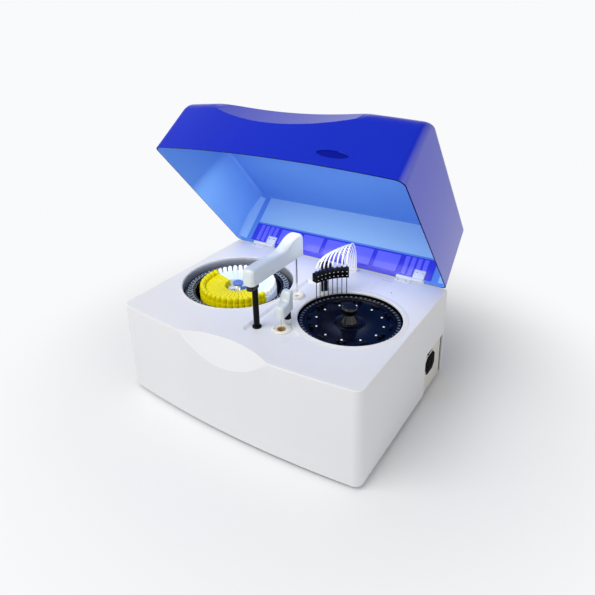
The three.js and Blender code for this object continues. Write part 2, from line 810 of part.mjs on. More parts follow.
// Bridge of bent plate that stands on the base plate and carries both tubs
function buildMountingFrame() {
  const inside = frameHalfWidth - framePlateThickness;
  const legBottom = basePlateTop + gap;
  const bridge = block(
    -frameHalfWidth, frameHalfWidth, frameFront, frameBack, legBottom, framePlateTop
  ).subtract(block(-inside, inside, frameFront - overrun, frameBack + overrun,
    legBottom - overrun, framePlateBottom));
  const depth = frameBack - frameFront;
  const windowFront = frameBack - frameWindowFrontShare * depth;
  const legWindow = block(
    -frameHalfWidth - overrun, frameHalfWidth + overrun,
    windowFront, windowFront + frameWindowShare * depth, legBottom - overrun, framePlateBottom - coverWall
  );
  const hole = (x, y, radius) => rod(
    radius, framePlateBottom - overrun, framePlateTop + overrun, { x, y }
  );
  addPiece(machine, 'mounting_frame', cut(bridge, [
    legWindow,
    hole(reagentX, reagentY, shaftHoleRadius),
    hole(reactionX, reactionY, shaftHoleRadius),
    hole(sampleX, sampleY, sampleColumnRadius + overrun),
    hole(stirrerX, stirrerY, stirrerColumnRadius + overrun),
    hole(washColumn.x, washColumn.y, washColumnRadius + overrun),
  ]), zincSteel);
}

function buildPowerPanel() {
  const outerX = bodyWidth / 2 - powerPanelSetback;
  const innerX = outerX - powerPanelThickness;
  const bottom = basePlateTop + gap;
  const hole = (y, z, width, height) => block(
    innerX - overrun, outerX + overrun, y - width / 2, y + width / 2, z - height / 2, z + height / 2
  );
  const roundHole = new THREE.CylinderGeometry(
    earthScrewRadius + gap, earthScrewRadius + gap, 2 * powerPanelSetback, boreSides
  );
  roundHole.rotateZ(Math.PI / 2);
  roundHole.translate(outerX, earthScrewY, earthScrewZ);
  addPiece(machine, 'power_panel', cut(block(
    innerX, outerX, cutoutFront - powerPanelMargin, cutoutBack + powerPanelMargin,
    bottom, footHeight + cutoutHeight + powerPanelMargin
  ), [
    hole(inletY, inletZ, inletWidth - 2 * inletFlangeMargin + 2 * gap,
      inletHeight - 2 * inletFlangeMargin + 2 * gap),
    hole(rockerY, rockerZ, rockerWidth + 2 * gap, rockerHeight + 2 * gap),
    solid(roundHole),
  ]), steelPaint);

  const faceX = outerX + gap + inletFlangeThickness;
  const half = (size) => size / 2;
  const flange = block(
    outerX + gap, faceX, inletY - half(inletWidth), inletY + half(inletWidth),
    inletZ - half(inletHeight), inletZ + half(inletHeight)
  );
  const bodyHalfY = half(inletWidth) - inletFlangeMargin;
  const bodyHalfZ = half(inletHeight) - inletFlangeMargin;
  const inletBody = block(
    outerX - inletBodyDepth, outerX + gap + overrun / 2, inletY - bodyHalfY, inletY + bodyHalfY,
    inletZ - bodyHalfZ, inletZ + bodyHalfZ
  );
  const socket = block(
    faceX - socketDepth, faceX + overrun, inletY - half(socketWidth), inletY + half(socketWidth),
    inletZ - half(socketHeight), inletZ + half(socketHeight)
  );
  const pins = [-1, 0, 1].map((place) => {
    const y = inletY + place * socketPinSpacing;
    const z = inletZ + (place === 0 ? half(socketPinHeight) : 0);
    return block(
      faceX - socketDepth - overrun, faceX - socketDepth + socketPinLength,
      y - half(socketPinWidth), y + half(socketPinWidth), z - half(socketPinHeight), z + half(socketPinHeight)
    );
  });
  addPiece(machine, 'power_inlet', joined([flange.add(inletBody).subtract(socket), ...pins]), blackPlastic);

  const screw = new THREE.CylinderGeometry(
    earthScrewRadius, earthScrewRadius, earthScrewLength, boreSides
  );
  screw.rotateZ(Math.PI / 2);
  screw.translate(outerX + gap + overrun - half(earthScrewLength), earthScrewY, earthScrewZ);
  const head = new THREE.CylinderGeometry(
    earthScrewHeadRadius, earthScrewHeadRadius, earthScrewHeadHeight, smallSides
  );
  head.rotateZ(Math.PI / 2);
  head.translate(outerX + gap + half(earthScrewHeadHeight), earthScrewY, earthScrewZ);
  addPiece(machine, 'earth_screw', solid(screw).add(solid(head)), brass);

  // Two flats that meet in a shallow V, so one end stands proud
  const rocker = new THREE.Shape();
  rocker.moveTo(-rockerDepth, -half(rockerWidth));
  rocker.lineTo(rockerProud, -half(rockerWidth));
  rocker.lineTo(rockerProud / 2, 0);
  rocker.lineTo(rockerProud, half(rockerWidth));
  rocker.lineTo(-rockerDepth, half(rockerWidth));
  const rockerSolid = prism(rocker, -half(rockerHeight), half(rockerHeight));
  const rockerMesh = addPiece(machine, 'power_rocker', rockerSolid, blackPlastic);
  rockerMesh.position.set(outerX, rockerY, rockerZ);
  rockerMesh.rotation.z = rockerTilt;
}

// Lid

function lidLevel(height, wall) {
  const rise = Math.max(0, Math.min(height, lidHeight - wall));
  const rounding = (radius) => {
    const reach = Math.max(0, rise - (lidHeight - wall - radius));
    return radius - Math.sqrt(Math.max(0, radius ** 2 - reach ** 2));
  };
  const share = rise / lidHeight;
  const sideInset = wall + lidSideDraft * share + rounding(lidSideRound);
  const frontInset = wall + lidLean * share + rounding(lidFrontRound);
  const outline = bowedOutline(
    lidHalfWidth - sideInset, lidFront + frontInset, lidRear - wall - rounding(lidSideRound),
    frontBow, frontCornerRadius, frontCornerRadius - lidSideRound / 2
  );
  return { outline, height: flat(deckTop + lidHemAboveDeck + height) };
}

function lidLevels(wall, below) {
  const top = lidHeight - wall;
  const turnIn = [0, 0.4, 0.7, 0.85, 0.95, 1];
  const straight = [below, (top - lidFrontRound) / 2];
  const heights = [...straight, ...turnIn.map((share) => top - lidFrontRound + share * lidFrontRound)];
  return heights.map((height) => lidLevel(height, wall));
}

function buildLid() {
  const lid = new THREE.Group();
  lid.position.set(0, hingeY, hingeZ);
  lid.rotation.x = -lidOpenAngle;
  machine.add(lid);
  const inLid = (name, shape, material) => {
    const mesh = addPiece(lid, name, shape, material);
    mesh.position.set(0, -hingeY, -hingeZ);
  };

  const hem = deckTop + lidHemAboveDeck;
  const edgeY = lidFront - frontBow + lidLean;
  const lidScoop = (sunk) => scoop(
    lidScoopX, edgeY, hem + lidHeight, lidScoopHalfWidth, lidScoopBack, lidScoopDrop, sunk
  );
  const innerRear = lidRear - lidWall;
  const padPitch = ribPadSpan / ribPadCount;
  const pads = [];
  for (let i = 0; i < ribPadCount; i += 1) {
    const x = (i - (ribPadCount - 1) / 2) * padPitch;
    const halfPad = (padPitch - ribPadGap) / 2;
    pads.push(block(x - halfPad, x + halfPad, innerRear - ribPadProud, innerRear + lidWall / 2,
      hem + ribPadBottom, hem + ribPadTop));
  }
  const hinges = [-hingeX, hingeX];
  const notches = hinges.map((x) => block(
    x - hingeHalfLength - hingeNotchMargin, x + hingeHalfLength + hingeNotchMargin,
    innerRear - ribPadProud - overrun, lidRear + overrun, hem - overrun, hem + hingeNotchHeight
  ));
  const leafBeds = hinges.map((x) => block(
    x - hingeHalfLength - hingeNotchMargin, x + hingeHalfLength + hingeNotchMargin,
    innerRear - ribPadProud - overrun, innerRear, hem - overrun, hingeZ + hingeLidLeafHeight + gap
  ));
  const grip = new THREE.Shape();
  grip.absellipse(0, 0, gripHalfWidth, gripHalfHeight, 0, fullTurn);
  const gripCutter = new THREE.ExtrudeGeometry(grip, { depth: frontBow, bevelEnabled: false });
  gripCutter.rotateX(Math.PI / 2);
  const bowAtGrip = frontBow * (1 - (gripX / (lidHalfWidth - frontCornerRadius)) ** 2);
  const gripFace = lidFront - bowAtGrip + lidLean * (gripAboveHem / lidHeight);
  gripCutter.translate(gripX, gripFace + gripDepth, hem + gripAboveHem);
  const shell = loft(lidLevels(0, 0))
    .subtract(loft(lidLevels(lidWall, -overrun)).subtract(lidScoop(lidWall)))
    .subtract(lidScoop(0));
  inLid('lid_shell', cut(joined([shell, ...pads]), [...notches, ...leafBeds, solid(gripCutter)]), lidBlue);

  inLid('lid_rear_panel', block(
    rearSheetLeftMargin - lidHalfWidth, lidHalfWidth - rearSheetRightMargin,
    innerRear - gap - rearSheetThickness, innerRear - gap,
    hem + rearSheetBottom, hem + lidHeight - rearSheetTopMargin
  ), paleBlue);

  for (const [place, x] of [['left', -hingeX], ['right', hingeX]]) {
    const barrel = (from, to, radius) => {
      const geometry = new THREE.CylinderGeometry(radius, radius, to - from, smallSides);
      geometry.rotateZ(Math.PI / 2);
      geometry.translate((from + to) / 2, hingeY, hingeZ);
      return solid(geometry);
    };
    const low = x - hingeHalfLength;
    const split = x + hingeSplit;
    const high = x + hingeHalfLength;
    const pinBore = barrel(low - overrun, high + overrun, hingePinRadius + gap);
    const leafTop = deckTop + gap + hingeLeafThickness;
    addPiece(machine, `hinge_base_${place}`, cut(joined([
      barrel(low, split, hingeBarrelRadius),
      block(low, split, hingeY - hingeLeafDepth, hingeY, deckTop + gap, leafTop),
    ]), [pinBore]), whitePlastic);
    addPiece(machine, `hinge_pin_${place}`, barrel(low, high, hingePinRadius), brightSteel);
    inLid(`hinge_leaf_${place}`, cut(joined([
      barrel(split + gap, high, hingeBarrelRadius),
      block(split + gap, high, innerRear - gap - hingeLeafThickness, innerRear - gap,
        hingeZ, hingeZ + hingeLidLeafHeight),
    ]), [pinBore]), clearPlastic);
  }
}

// Carousels

function buildTub(name, x, y, radius, material) {
  addPiece(machine, name, turned([
    [shaftHoleRadius, tubBottom],
    [radius, tubBottom],
    [radius, tubTop],
    [radius - tubWall, tubTop],
    [radius - tubWall, tubFloor],
    [shaftHoleRadius, tubFloor],
  ], largeSides, x, y), material);
}

function buildMotor(name, x, y) {
  const half = motorSize / 2;
  const body = block(x - half, x + half, y - half, y + half, motorTop - motorBossHeight - motorHeight,
    motorTop - motorBossHeight);
  const boss = rod(motorBossRadius, motorTop - motorBossHeight - overrun, motorTop, { x, y });
  const bore = rod(shaftRadius + gap, motorTop - shaftDepthInMotor - gap, motorTop + overrun, { x, y });
  addPiece(machine, name, body.add(boss).subtract(bore), blackPlastic);
}

// A row of wedge bottles side by side, held together along a narrow root at the hub end
function bottleRow(first, count) {
  const pitch = fullTurn / bottleCount;
  const halfGap = bottleSlot / 2;
  const shoulder = bottleOuterRadius - bottleNeckInset / 2;
  const rootRadius = bottleInnerRadius + bottleRootWidth;
  const tipShare = 0.5;
  const shape = [];
  const necks = [];
  const mouths = [];
  for (let i = 0; i < count; i += 1) {
    const angle = yellowStartAngle + (first + i + 0.5) * pitch;
    const place = (radius, side, halfShare = 1) => {
      const half = (radius * Math.tan(pitch / 2) - halfGap) * halfShare;
      shape.push(new THREE.Vector2(radius, side * half).rotateAround(new THREE.Vector2(), angle));
    };
    place(rootRadius, -1);
    place(shoulder, -1);
    place(bottleOuterRadius, -1, tipShare);
    place(bottleOuterRadius, 1, tipShare);
    place(shoulder, 1);
    place(rootRadius, 1);
    const mouth = polar(0, 0, bottleOuterRadius - bottleNeckInset, angle);
    const at = { x: mouth.x, y: mouth.y, sides: mouthSides };
    necks.push(rod(bottleNeckRadius, bottleTop - overrun, bottleNeckTop, at));
    mouths.push(rod(bottleMouthRadius, bottleNeckTop - bottleMouthDepth, bottleNeckTop + overrun, at));
  }
  const endMargin = halfGap / bottleInnerRadius;
  for (let i = count; i >= 0; i -= 1) {
    const inward = (i === 0 ? 1 : 0) - (i === count ? 1 : 0);
    const angle = yellowStartAngle + (first + i) * pitch + inward * endMargin;
    shape.push(polar(0, 0, bottleInnerRadius, angle));
  }
  const row = prism(new THREE.Shape(shape), bottleBase, bottleTop);
  return cut(joined([row, ...necks]), mouths);
}

const hubFlangeTop = tubFloor + hubClearance + hubFlangeThickness;
const carouselBottom = hubFlangeTop + gap;
const carouselFloor = carouselBottom + carouselPlate;
const bottleBase = carouselFloor + gap;
const cupTroughFloor = carouselRimTop - cupTroughDepth;

function buildReagentCarousel() {
  const carousel = new THREE.Group();
  carousel.position.set(reagentX, reagentY, 0);
  machine.add(carousel);
  const troughOuter = carouselRadius - cupTroughWall;
  addPiece(carousel, 'reagent_carousel', turned([
    [shaftRadius + gap, carouselBottom],
    [cupTroughInner, carouselBottom],
    [cupTroughInner, cupTroughFloor - carouselPlate],
    [carouselRadius, cupTroughFloor - carouselPlate],
    [carouselRadius, carouselRimTop],
    [troughOuter, carouselRimTop],
    [troughOuter, cupTroughFloor],
    [cupTroughInner, cupTroughFloor],
    [cupTroughInner, carouselRimTop],
    [cupTroughInner - cupTroughWall, carouselRimTop],
    [cupTroughInner - cupTroughWall, carouselFloor],
    [shaftRadius + gap, carouselFloor],
  ], largeSides), blackPlastic);

  const cupBores = [];
  for (let i = 0; i < cupCount; i += 1) {
    const place = polar(0, 0, cupCircleRadius, cupPhase + (i / cupCount) * fullTurn);
    cupBores.push(rod(cupBoreRadius, cupTroughFloor + gap + cupFloor, cupRingTop + overrun,
      { x: place.x, y: place.y, sides: mouthSides }));
  }
  addPiece(carousel, 'sample_cups', cut(ring(
    cupTroughInner + gap, troughOuter - gap, cupTroughFloor + gap, cupRingTop, largeSides
  ), cupBores), clearPlastic);

  addPiece(carousel, 'yellow_bottles', bottleRow(0, yellowBottleCount), yellowPlastic);
  addPiece(carousel, 'clear_bottles', bottleRow(yellowBottleCount, bottleCount - yellowBottleCount),
    clearPlastic);

  addPiece(carousel, 'reagent_hub', turned([
    [0, motorTop - shaftDepthInMotor],
    [shaftRadius, motorTop - shaftDepthInMotor],
    [shaftRadius, hubFlangeTop - hubFlangeThickness],
    [hubFlangeRadius, hubFlangeTop - hubFlangeThickness],
    [hubFlangeRadius, hubFlangeTop],
    [shaftRadius, hubFlangeTop],
    [shaftRadius, carouselFloor + gap],
    [hubFootRadius, carouselFloor + gap],
    [hubFootRadius, hubFootTop],
    [hubWaistRadius, hubWaistTop],
    [hubHeadRadius, hubHeadTop - gap],
    [hubHeadRadius, hubHeadTop],
    [0, hubHeadTop],
  ], mediumSides), brightSteel);

  const knobBottom = hubHeadTop + gap;
  addPiece(carousel, 'reagent_knob', turned([
    [0, knobBottom],
    [liftKnobRadius, knobBottom],
    [liftKnobRadius, knobBottom + liftKnobHeight - liftKnobChamfer],
    [liftKnobRadius - liftKnobChamfer, knobBottom + liftKnobHeight],
    [0, knobBottom + liftKnobHeight],
  ], mediumSides), bluePlastic);
}

function buildReactionCarousel() {
  const carousel = new THREE.Group();
  carousel.position.set(reactionX, reactionY, 0);
  machine.add(carousel);
  const ringBottom = ringTop - ringHeight;
  const seatTop = ringBottom - gap;
  const seatBottom = seatTop - ringSeatThickness;
  const discBottom = discTop - discThickness;
  const wheel = turned([
    [shaftRadius + gap, discBottom],
    [ringSeatInner, discBottom],
    [ringSeatInner, seatBottom],
    [ringOuterRadius, seatBottom],
    [ringOuterRadius, seatTop],
    [ringInnerRadius - gap, seatTop],
    [ringInnerRadius - gap, discRimTop],
    [discRimRadius, discRimTop],
    [discRimRadius, discTop],
    [shaftRadius + gap, discTop],
  ], largeSides);
  const posts = [];
  for (let i = 0; i < postCount; i += 1) {
    const place = polar(0, 0, postCircleRadius, (i / postCount) * fullTurn);
    posts.push(rod(postRadius, discRimTop - overrun, discRimTop + postHeight,
      { x: place.x, y: place.y, sides: mouthSides }));
  }
  addPiece(carousel, 'reaction_disc', joined([wheel, ...posts]), navyPlastic);

  const slots = [];
  for (let i = 0; i < cuvetteCount; i += 1) {
    const slot = new THREE.BoxGeometry(cuvetteRadialSize, cuvetteWidth, cuvetteDepth + overrun);
    slot.translate(ringCircleRadius, 0, ringTop + overrun - (cuvetteDepth + overrun) / 2);
    slot.rotateZ(cuvettePhase + i * cuvettePitch);
    slots.push(solid(slot));
  }
  addPiece(carousel, 'cuvette_ring', cut(
    ring(ringInnerRadius, ringOuterRadius, ringBottom, ringTop, largeSides), slots
  ), navyPlastic);

  addPiece(carousel, 'reaction_spindle', turned([
    [0, motorTop - shaftDepthInMotor],
    [shaftRadius, motorTop - shaftDepthInMotor],
    [shaftRadius, discBottom - gap - hubFlangeThickness],
    [spindleFlangeRadius, discBottom - gap - hubFlangeThickness],
    [spindleFlangeRadius, discBottom - gap],
    [shaftRadius, discBottom - gap],
    [shaftRadius, discTop + spindleStub],
    [0, discTop + spindleStub],
  ], smallSides), zincSteel);

  const base = discTop + gap;
  addPiece(carousel, 'reaction_knob', turned([
    [shaftRadius + gap, base],
    [knobBaseRadius, base],
    [knobBaseRadius, base + knobBaseHeight],
    [knobWaistRadius, base + knobWaistHeight],
    [knobHeadRadius, base + knobHeadHeight],
    [knobHeadRadius, base + knobHeight - overrun],
    [knobCrownRadius, base + knobHeight],
    [shaftWall, base + knobHeight],
    [shaftWall, discTop + spindleStub + gap],
    [shaftRadius + gap, discTop + spindleStub + gap],
  ], mediumSides), blackPlastic);
}

// Arms

// Arm shell along X from its column at zero to its tool at reach
function armShell({ reach, low, near, far, halfWidth, side, columnRadius, toolRadius, socket, margin }) {
  const plan = roundedRectangle(-near, reach + far, -halfWidth, halfWidth, armEndRound);
  const body = prism(plan, low, low + armHeadHeight).intersect(sideProfile(side, halfWidth + overrun));
  const cavity = block(
    columnRadius + margin, reach - margin, -halfWidth + armShellWall, halfWidth - armShellWall,
    low - overrun, low + socket + armShellWall
  );
  return cut(body, [
    cavity,
    rod(columnRadius + gap, low - overrun, low + socket),
    rod(toolRadius + gap, low - overrun, low + socket, { x: reach }),
  ]);
}

// Long arm: a level beam whose tool end swells upwards
function sampleArmSide() {
  const far = armReach + armFarOverhang;
  const top = armUnderside + armHeadHeight;
  const beam = armUnderside + armBeamHeight;
  const headStart = far - armHeadLength;
  const shape = new THREE.Shape();
  shape.moveTo(-armNearOverhang, armUnderside);
  shape.lineTo(far, armUnderside);
  shape.lineTo(far, top - 2 * armTopRound);
  shape.quadraticCurveTo(far, top, far - 2 * armTopRound, top);
  shape.bezierCurveTo(headStart, top, headStart, beam, headStart - armHeadRise, beam);
  shape.lineTo(-armNearOverhang + armTopRound, beam);
  shape.quadraticCurveTo(-armNearOverhang, beam, -armNearOverhang, beam - armTopRound);
  return shape;
}

// Short arm: tall over its column and low over its tool
function stirrerArmSide() {
  const far = stirrerReach + stirrerOverhang;
  const top = stirrerUnderside + stirrerHeadHeight;
  const beam = stirrerUnderside + stirrerBeamHeight;
  const headEnd = stirrerHeadLength - stirrerOverhang;
  const shape = new THREE.Shape();
  shape.moveTo(-stirrerOverhang, stirrerUnderside);
  shape.lineTo(far, stirrerUnderside);
  shape.lineTo(far, beam - armTopRound / 2);
  shape.quadraticCurveTo(far, beam, far - armTopRound / 2, beam);
  shape.lineTo(headEnd + armTopRound, beam);
  shape.quadraticCurveTo(headEnd, top, 0, top);
  shape.quadraticCurveTo(-stirrerOverhang, top, -stirrerOverhang, top - armTopRound);
  return shape;
}

// C-shaped bracket on the base plate that guides a column
function buildLiftUnit(name, x, y, columnRadius, top) {
  const halfX = liftUnitWidth / 2;
  const halfY = liftUnitDepth / 2;
  const bottom = basePlateTop + gap;
  const body = block(x - halfX, x + halfX, y - halfY, y + halfY, bottom, top);
  const space = block(
    x - halfX - overrun, x + halfX + overrun, y - halfY - overrun, y + halfY - liftUnitPlate,
    bottom + liftUnitPlate, top - liftUnitPlate
  );
  const bore = rod(columnRadius + gap, bottom - overrun, top + overrun, { x, y, sides: mediumSides });
  addPiece(machine, name, cut(body, [space, bore]), aluminium);
}

function buildPulley(parent, name, columnRadius, top) {
  const high = top - liftUnitPlate - gap;
  addPiece(parent, name, ring(columnRadius + gap, pulleyRadius, high - pulleyHeight, high, mediumSides),
    aluminium);
}

function buildSampleArm() {
  buildLiftUnit('sample_lift_unit', sampleX, sampleY, sampleColumnRadius, sampleUnitTop);
  addPiece(machine, 'sample_column_flange', ring(
    sampleColumnRadius + gap, sampleFlangeRadius, recessFloor + gap, recessFloor + gap + sampleFlangeHeight,
    mediumSides, sampleX, sampleY
  ), blackPlastic);
  const arm = new THREE.Group();
  arm.position.set(sampleX, sampleY, 0);
  arm.rotation.z = sampleRestAngle;
  machine.add(arm);
  buildPulley(arm, 'sample_turn_pulley', sampleColumnRadius, sampleUnitTop);
  const clampTop = armUnderside - gap;
  addPiece(arm, 'sample_column', joined([
    rod(sampleColumnRadius, sampleColumnBottom, armUnderside + armSocketDepth - gap),
    prism(stadium(-clampNear + clampHalfWidth, clampFar, clampHalfWidth), clampTop - clampHeight, clampTop),
  ]), blackPlastic);
  addPiece(arm, 'sample_arm', armShell({
    reach: armReach,
    low: armUnderside,
    near: armNearOverhang,
    far: armFarOverhang,
    halfWidth: armHalfWidth,
    side: sampleArmSide(),
    columnRadius: sampleColumnRadius,
    toolRadius: probeRadius,
    socket: armSocketDepth,
    margin: armCavityMargin,
  }), whitePlastic);
  addPiece(arm, 'sample_probe', joined([
    rod(probeTipRadius, probeTipZ, probeTipZ + probeTipLength + overrun, { x: armReach, sides: boreSides }),
    rod(probeRadius, probeTipZ + probeTipLength, armUnderside + armSocketDepth - gap,
      { x: armReach, sides: boreSides }),
  ]), brightSteel);
}

function buildStirrerArm() {
  buildLiftUnit('stirrer_lift_unit', stirrerX, stirrerY, stirrerColumnRadius, stirrerUnitTop);
  addPiece(machine, 'stirrer_boss', ring(
    stirrerColumnRadius + gap, bossOuterRadius, recessFloor + gap, recessFloor + gap + bossHeight,
    mediumSides, stirrerX, stirrerY
  ), whitePlastic);
  const arm = new THREE.Group();
  arm.position.set(stirrerX, stirrerY, 0);
  arm.rotation.z = stirrerRestAngle;
  machine.add(arm);
  buildPulley(arm, 'stirrer_turn_pulley', stirrerColumnRadius, stirrerUnitTop);
  addPiece(arm, 'stirrer_column', rod(
    stirrerColumnRadius, stirrerColumnBottom, stirrerUnderside + stirrerSocketDepth - gap,
    { sides: mediumSides }
  ), blackPlastic);
  addPiece(arm, 'stirrer_arm', armShell({
    reach: stirrerReach,
    low: stirrerUnderside,
    near: stirrerOverhang,
    far: stirrerOverhang,
    halfWidth: stirrerHalfWidth,
    side: stirrerArmSide(),
    columnRadius: stirrerColumnRadius,
    toolRadius: paddleChuckRadius,
    socket: stirrerSocketDepth,
    margin: armShellWall + paddleChuckRadius,
  }), whitePlastic);
  const paddle = new THREE.Group();
  paddle.position.set(stirrerReach, 0, 0);
  arm.add(paddle);
  const blade = paddleBladeWidth / 2;
  const bladeHalf = paddleBladeThickness / 2;
  addPiece(paddle, 'stirrer_paddle', joined([
    rod(paddleChuckRadius, stirrerUnderside - paddleChuckLength / 2,
      stirrerUnderside + stirrerSocketDepth - gap, { sides: boreSides }),
    rod(paddleShaftRadius, paddleTipZ + paddleBladeHeight / 2, stirrerUnderside, { sides: boreSides }),
    block(-blade, blade, -bladeHalf, bladeHalf, paddleTipZ, paddleTipZ + paddleBladeHeight),
  ]), brightSteel);
}

// Wells

function buildWell(name, place, flange, height, rim, bore, depth) {
  const base = recessFloor + gap;
  const bowlFloor = base + height - height * wellBowlDepthShare;
  const bottom = recessFloor - depth;
  addPiece(machine, name, turned([
    [0, bottom],
    [bore + wellWall, bottom],
    [bore + wellWall, base],
    [flange, base],
    [flange, base + height * 0.4],
    [flange - rim / 2, base + height],
    [flange - rim, base + height],
    [bore, bowlFloor],
    [bore, bottom + wellWall],
    [0, bottom + wellWall],
  ], mediumSides, place.x, place.y), creamPlastic);
}

// Wash station

function arcBar(inner, outer, from, to, low, high, segments) {
  const shape = new THREE.Shape();
  shape.absarc(0, 0, outer, from, to, false);
  shape.absarc(0, 0, inner, to, from, true);
  return prism(shape, low, high, segments);
}

function buildWashStation() {
  buildLiftUnit('wash_lift_unit', washColumn.x, washColumn.y, washColumnRadius, washUnitTop);
  addPiece(machine, 'wash_flange', ring(
    washColumnRadius + gap, washFlangeRadius, recessFloor + gap, recessFloor + gap + washFlangeHeight,
    mediumSides, washColumn.x, washColumn.y
  ), blackPlastic);
  const head = new THREE.Group();
  head.position.set(reactionX, reactionY, 0);
  machine.add(head);
  const middle = needleStartAngle + needleSpan / 2;
  const column = polar(0, 0, washColumnDistance, middle);
  const headTop = washHeadBottom + washHeadHeight;
  addPiece(head, 'wash_column', rod(
    washColumnRadius, washColumnBottom, headTop - overrun - gap, { x: column.x, y: column.y }
  ), blackPlastic);

  const angles = [];
  for (let i = 0; i < needleCount; i += 1) angles.push(needleStartAngle + i * cuvettePitch);
  const from = angles[0] - washHeadEndMargin;
  const to = angles.at(-1) + washHeadEndMargin;
  const bridgeStart = washHeadOuter - overrun;
  const bridge = new THREE.BoxGeometry(washColumnDistance - bridgeStart, washBridgeWidth,
    washHeadHeight - 2 * overrun);
  bridge.translate((washColumnDistance + bridgeStart) / 2, 0, washHeadBottom + washHeadHeight / 2);
  bridge.rotateZ(middle);
  const railBottom = headTop - needleRailDepth;
  const railMargin = needleRailHalfWidth + gap;
  const endAngle = railMargin / ringCircleRadius;
  const needleHole = (angle) => {
    const place = polar(0, 0, ringCircleRadius, angle);
    return rod(needleRadius + gap, washHeadBottom - overrun, headTop,
      { x: place.x, y: place.y, sides: boreSides });
  };
  addPiece(head, 'wash_head', cut(joined([
    arcBar(washHeadInner, washHeadOuter, from, to, washHeadBottom, headTop, needleCount),
    solid(bridge),
    rod(washCollarRadius, washHeadBottom, washHeadBottom + washCollarHeight, { x: column.x, y: column.y }),
  ]), [
    arcBar(ringCircleRadius - railMargin, ringCircleRadius + railMargin, angles[0] - 2 * endAngle,
      angles.at(-1) + 2 * endAngle, railBottom, headTop + overrun, needleCount),
    ...angles.map(needleHole),
    rod(washColumnRadius + gap, washHeadBottom - overrun, headTop - overrun, { x: column.x, y: column.y }),
  ]), blackPlastic);

  const needle = (angle) => {
    const place = polar(0, 0, ringCircleRadius, angle);
    return rod(needleRadius, needleTipZ, headTop + needleStub, { x: place.x, y: place.y, sides: boreSides });
  };
  addPiece(head, 'wash_needles', joined([
    arcBar(ringCircleRadius - needleRailHalfWidth, ringCircleRadius + needleRailHalfWidth,
      angles[0] - endAngle, angles.at(-1) + endAngle,
      railBottom + gap, railBottom + needleRailHeight, needleCount),
    ...angles.map(needle),
  ]), brightSteel);

  const manifoldBottom = deckTop + gap;
  const manifoldTop = manifoldBottom + manifoldHeight;
  const tubes = angles.map((angle, i) => {
    const place = polar(reactionX, reactionY, ringCircleRadius, angle);
    const share = 1 - i / (needleCount - 1);
    const port = manifoldX + ((needleCount - 1) / 2 - i) * manifoldPitch;
    const start = new THREE.Vector3(place.x, place.y, headTop + needleStub + gap);
    const end = new THREE.Vector3(port, manifoldY, manifoldTop - overrun);
    const rise = THREE.MathUtils.lerp(tubeRiseLow, tubeRiseHigh, share);
    const fall = THREE.MathUtils.lerp(tubeFallLow, tubeFallHigh, share);
    const route = new THREE.CubicBezierCurve3(
      start, start.clone().setZ(start.z + rise), end.clone().setZ(end.z + fall), end
    );
    const section = new THREE.Shape();
    section.absarc(0, 0, tubeRadius, 0, fullTurn);
    return solid(new THREE.ExtrudeGeometry(section, {
      steps: tubeSteps, extrudePath: route, curveSegments: tubeSides / 2, bevelEnabled: false,
    }));
  });
  addPiece(machine, 'wash_tubes', joined([
    block(manifoldX - manifoldWidth / 2, manifoldX + manifoldWidth / 2,
      manifoldY - manifoldDepth / 2, manifoldY + manifoldDepth / 2, manifoldBottom, manifoldTop),
    ...tubes,
  ]), whitePlastic);
}

// Pieces inside the housing

function buildInside() {
  const floor = basePlateTop + gap;
  addPiece(machine, 'photometer', block(
    photometerX - photometerWidth / 2, photometerX + photometerWidth / 2,
    photometerY - photometerDepth / 2, photometerY + photometerDepth / 2,
    framePlateTop + gap, framePlateTop + gap + photometerHeight
  ), blackPlastic);
  addPiece(machine, 'power_supply', block(
    supplyX - supplyWidth / 2, supplyX + supplyWidth / 2,
    supplyY - supplyDepth / 2, supplyY + supplyDepth / 2, floor, floor + supplyHeight
  ), aluminium);

  const boardBottom = floor + boardStandoff;
  const boardTop = boardBottom + boardThickness;
  const halfX = boardWidth / 2;
  const halfY = boardDepth / 2;
  const posts = [[-1, -1], [1, -1], [-1, 1], [1, 1]].map(([sideX, sideY]) => rod(
    boardStandoffRadius, floor, boardBottom + boardThickness / 2,
    { x: boardX + sideX * (halfX - boardInset), y: boardY + sideY * (halfY - boardInset), sides: boreSides }
  ));
  const chip = block(boardX - chipWidth / 2, boardX + chipWidth / 2, boardY - chipWidth / 2,
    boardY + chipWidth / 2, boardTop - boardThickness / 2, boardTop + chipHeight);
  addPiece(machine, 'control_board', joined([
    block(boardX - halfX, boardX + halfX, boardY - halfY, boardY + halfY, boardBottom, boardTop),
    chip,
    ...posts,
  ]), boardGreen);

  const pumpTop = floor + pumpHeight;
  const pumpHalf = pumpWidth / 2;
  const bore = rod(plungerRadius + gap, pumpTop - plungerDepth - gap, pumpTop + overrun,
    { x: pumpX, y: pumpY });
  addPiece(machine, 'syringe_pump', block(
    pumpX - pumpHalf, pumpX + pumpHalf, pumpY - pumpHalf, pumpY + pumpHalf, floor, pumpTop
  ).subtract(bore), aluminium);
  addPiece(machine, 'syringe_plunger', joined([
    rod(plungerRadius, pumpTop - plungerDepth, pumpTop + plungerProud, { x: pumpX, y: pumpY }),
    rod(plungerHeadRadius, pumpTop + plungerProud - plungerHeadHeight, pumpTop + plungerProud,
      { x: pumpX, y: pumpY }),
  ]), brightSteel);
}

